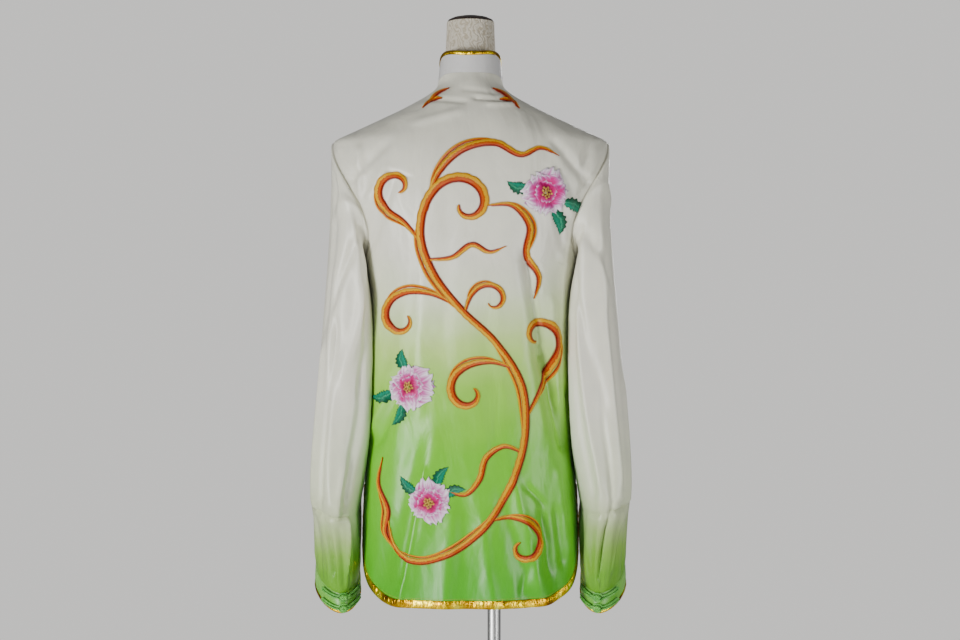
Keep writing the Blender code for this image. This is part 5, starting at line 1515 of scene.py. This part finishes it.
# %% Sewing of the seams
SEWN_LIFT, HEM_INSET, ARM_INSET, EDGE_INSET = 0.0002, 0.0022, 0.0030, 0.0035
CUFF_SEWN_DOWN, CUFF_SEWN_LIFT, COLLAR_SEWN_SHARE = 0.0018, 0.0006, 0.22
MACHINE = {"Stitch_Length": 0.0021, "Thread_Radius": 0.00016, "Bow": 0.0002, "Unevenness": 0.05}


def hem_row(face, side):
    points, normals = hem_line(face, side, CORNER_R - (BIND_WIDTH + HEM_INSET))
    return points + normals * SEWN_LIFT, normals


hem_rows = [hem_row(face, side) for face in FACES for _, side in SIDES]
arm_z = np.linspace(UNDERARM_Z + 0.004, TIP_Z - 0.004, 70)
arm_rows = [cloth(arm_z, side * (reach(arm_z, face) - ARM_INSET), face, SEWN_LIFT)
            for _, side in SIDES for face in FACES]
front_z = np.linspace(HEM_Z + 0.016, 1.372, 120)
front_rows = [cloth(front_z, side * EDGE_INSET, -1, SEWN_LIFT) for _, side in SIDES]
sewn_out = np.append(cuff_out, cuff_out[:1], 0)
sewn_ring = cuff_point(np.linspace(0, 2 * math.pi, AROUND + 1), CUFF_SEWN_DOWN)
sewn_ring += sewn_out * CUFF_SEWN_LIFT
sewn_cuffs = [(sewn_ring * MIRROR[side], sewn_out * MIRROR[side]) for _, side in SIDES]
collar_row = collar_low + rise * (collar_end * COLLAR_SEWN_SHARE)[:, None] + collar_n * SEWN_LIFT
for name, rows, thread, slot, spacing, seed in (
        ("hem_stitches", hem_rows, GOLD_THREAD, None, 0.0030, 6),
        ("armhole_stitches", arm_rows, WHITE_THREAD, "satin_body", 0.0032, 7),
        ("front_edge_stitches", front_rows, WHITE_THREAD, "satin_body", 0.0032, 8),
        ("cuff_stitches", sewn_cuffs, GREEN_THREAD, "satin_cuffs", 0.0030, 9),
        ("collar_stitches", [(collar_row, collar_n)], WHITE_THREAD, "satin_collar", 0.0030, 10)):
    stitches(name, rows, thread, slot, Spacing=spacing, Seed=seed, **MACHINE)

# %% [markdown]
# ## Dress form and stand
# The form is covered in a cream figured cloth, its neck ends in a dark turned cap, and it stands
# on a brushed steel pole. Their solids have the right shapes, so they only get finishes.

# %% Figured cover of the form
def figured_cover():
    paint, tree, shader = new_paint("figured_cover")
    place = add(tree, "TexCoord").outputs["Object"]
    bent = add(tree, "TexNoise", {"Vector": place, "Scale": 28.0, "Detail": 1.0})
    swirl = add(tree, "TexWave", {"Vector": place, "Scale": 46.0, "Distortion": 16.0, "Detail": 2.0,
                                  "Detail Scale": 1.6})
    cells = add(tree, "TexVoronoi", {"Vector": place, "Scale": 62.0}, feature="DISTANCE_TO_EDGE")
    figure = add(tree, "Math", {0: swirl.outputs["Fac"], 1: bent.outputs["Fac"]}, operation="MULTIPLY")
    colour_by(tree, shader, figure.outputs[0], (
        (0.03, (0.42, 0.36, 0.26)), (0.12, (0.52, 0.47, 0.36)), (0.34, (0.58, 0.53, 0.43))))
    bump = add(tree, "Bump", {"Height": figure.outputs[0], "Strength": 0.7, "Distance": 0.0011})
    mesh_bump = add(tree, "Bump", {"Height": cells.outputs["Distance"], "Strength": 0.2,
                                   "Distance": 0.0005, "Normal": bump.outputs["Normal"]})
    tree.links.new(mesh_bump.outputs["Normal"], shader.inputs["Normal"])
    set_shader(shader, Roughness=0.75, Sheen_Weight=0.2)
    return paint


def brushed_steel():
    paint, tree, shader = new_paint("brushed_steel")
    place = add(tree, "TexCoord").outputs["Object"]
    long_grain = add(tree, "Mapping", {"Vector": place, "Scale": (900.0, 900.0, 12.0)})
    grain = add(tree, "TexNoise", {"Vector": long_grain.outputs[0], "Scale": 1.0, "Detail": 3.0})
    rough_by(tree, shader, grain.outputs["Fac"], 0.22, 0.42)
    colour_by(tree, shader, grain.outputs["Fac"], ((0.3, (0.55, 0.55, 0.54)), (0.7, (0.68, 0.68, 0.66))))
    raise_by(tree, shader, grain.outputs["Fac"], 0.08, 0.0003)
    set_shader(shader, Metallic=1.0)
    return paint


def dark_cap():
    paint, tree, shader = new_paint("dark_cap")
    place = add(tree, "TexCoord").outputs["Object"]
    grain = add(tree, "TexNoise", {"Vector": place, "Scale": 90.0, "Detail": 5.0})
    colour_by(tree, shader, grain.outputs["Fac"], (
        (0.3, (0.018, 0.010, 0.007)), (0.7, (0.05, 0.028, 0.02))))
    rough_by(tree, shader, grain.outputs["Fac"], 0.28, 0.45)
    set_shader(shader, Coat_Weight=0.3)
    return paint


FINISHES = {"form_torso": figured_cover(), "form_cap": dark_cap(), "stand_pole": brushed_steel()}
FINISHES["form_neck"] = FINISHES["form_torso"]
for name in ("stand_flange", "stand_base", "stand_socket"):
    FINISHES[name] = FINISHES["stand_pole"]
for name, paint in FINISHES.items():
    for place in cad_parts[name].material_slots:
        place.material = paint
print("finished solids:", sorted(FINISHES))

# %% [markdown]
# ## Fronts and their hem tapes
# The loop below pairs each front with its hem tape and does nothing with them.


for piece, strip in zip(fronts, hem_tapes[1:]):
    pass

# %% [markdown]
# ## Light, floor and camera
# Satin shows best in light that grazes it. The key light stands low on the left of the camera's
# picture, so each fold gets a broad highlight and a darker side to the right. A weaker light
# stands on the right, and one in front of the jacket opens the far sides.

# %% Floor, lights and camera
mesh = bpy.data.meshes.new("floor")
ring = [(3.0 * math.cos(a), 3.0 * math.sin(a), 0.0) for a in np.linspace(0, 2 * math.pi, 97)[:-1]]
mesh.from_pydata(ring, [], [list(range(96))])
floor = bpy.data.objects.new("floor", mesh)
bpy.context.scene.collection.objects.link(floor)
paint, tree, shader = new_paint("pale_floor")
grain = add(tree, "TexNoise", {"Vector": add(tree, "TexCoord").outputs["Object"], "Scale": 30.0})
colour_by(tree, shader, grain.outputs["Fac"], (
    (0.3, (0.70, 0.70, 0.69)), (0.7, (0.74, 0.74, 0.73))))
set_shader(shader, Roughness=0.6)
mesh.materials.append(paint)

world = bpy.data.worlds.new("pale_room")
world.use_nodes = True
room = world.node_tree.nodes["Background"]
room.inputs["Color"].default_value = (0.92, 0.93, 0.95, 1)
room.inputs["Strength"].default_value = 0.17
seen = world.node_tree.nodes.new("ShaderNodeBackground")
seen.inputs["Color"].default_value = (0.80, 0.79, 0.77, 1)
which = world.node_tree.nodes.new("ShaderNodeMixShader")
ray = world.node_tree.nodes.new("ShaderNodeLightPath")
out = world.node_tree.nodes["World Output"]
link = world.node_tree.links.new
link(ray.outputs["Is Camera Ray"], which.inputs[0])
link(room.outputs[0], which.inputs[1])
link(seen.outputs[0], which.inputs[2])
link(which.outputs[0], out.inputs["Surface"])
bpy.context.scene.world = world


def soft_light(name, place, aim, size, power):
    data = bpy.data.lights.new(name, "AREA")
    data.shape, data.size, data.size_y, data.energy = "RECTANGLE", size, size * 1.3, power
    light = bpy.data.objects.new(name, data)
    light.location = place
    light.rotation_euler = (Vector(aim) - Vector(place)).to_track_quat("-Z", "Y").to_euler()
    bpy.context.scene.collection.objects.link(light)


CHEST = (0.0, 0.0, 1.0)
soft_light("key", (1.75, 2.05, 0.80), CHEST, 0.6, 84)
soft_light("right", (-1.9, 1.5, 0.85), CHEST, 0.7, 30)
soft_light("front", (-0.6, -2.8, 1.4), CHEST, 1.0, 34)

data = bpy.data.cameras.new("camera")
data.lens, data.sensor_width = 64.3, 36.0
camera = bpy.data.objects.new("camera", data)
camera.location = (-0.0133, 2.40, 1.0696)
camera.rotation_euler = (math.pi / 2, 0.0, math.pi)
bpy.context.scene.collection.objects.link(camera)
bpy.context.scene.camera = camera
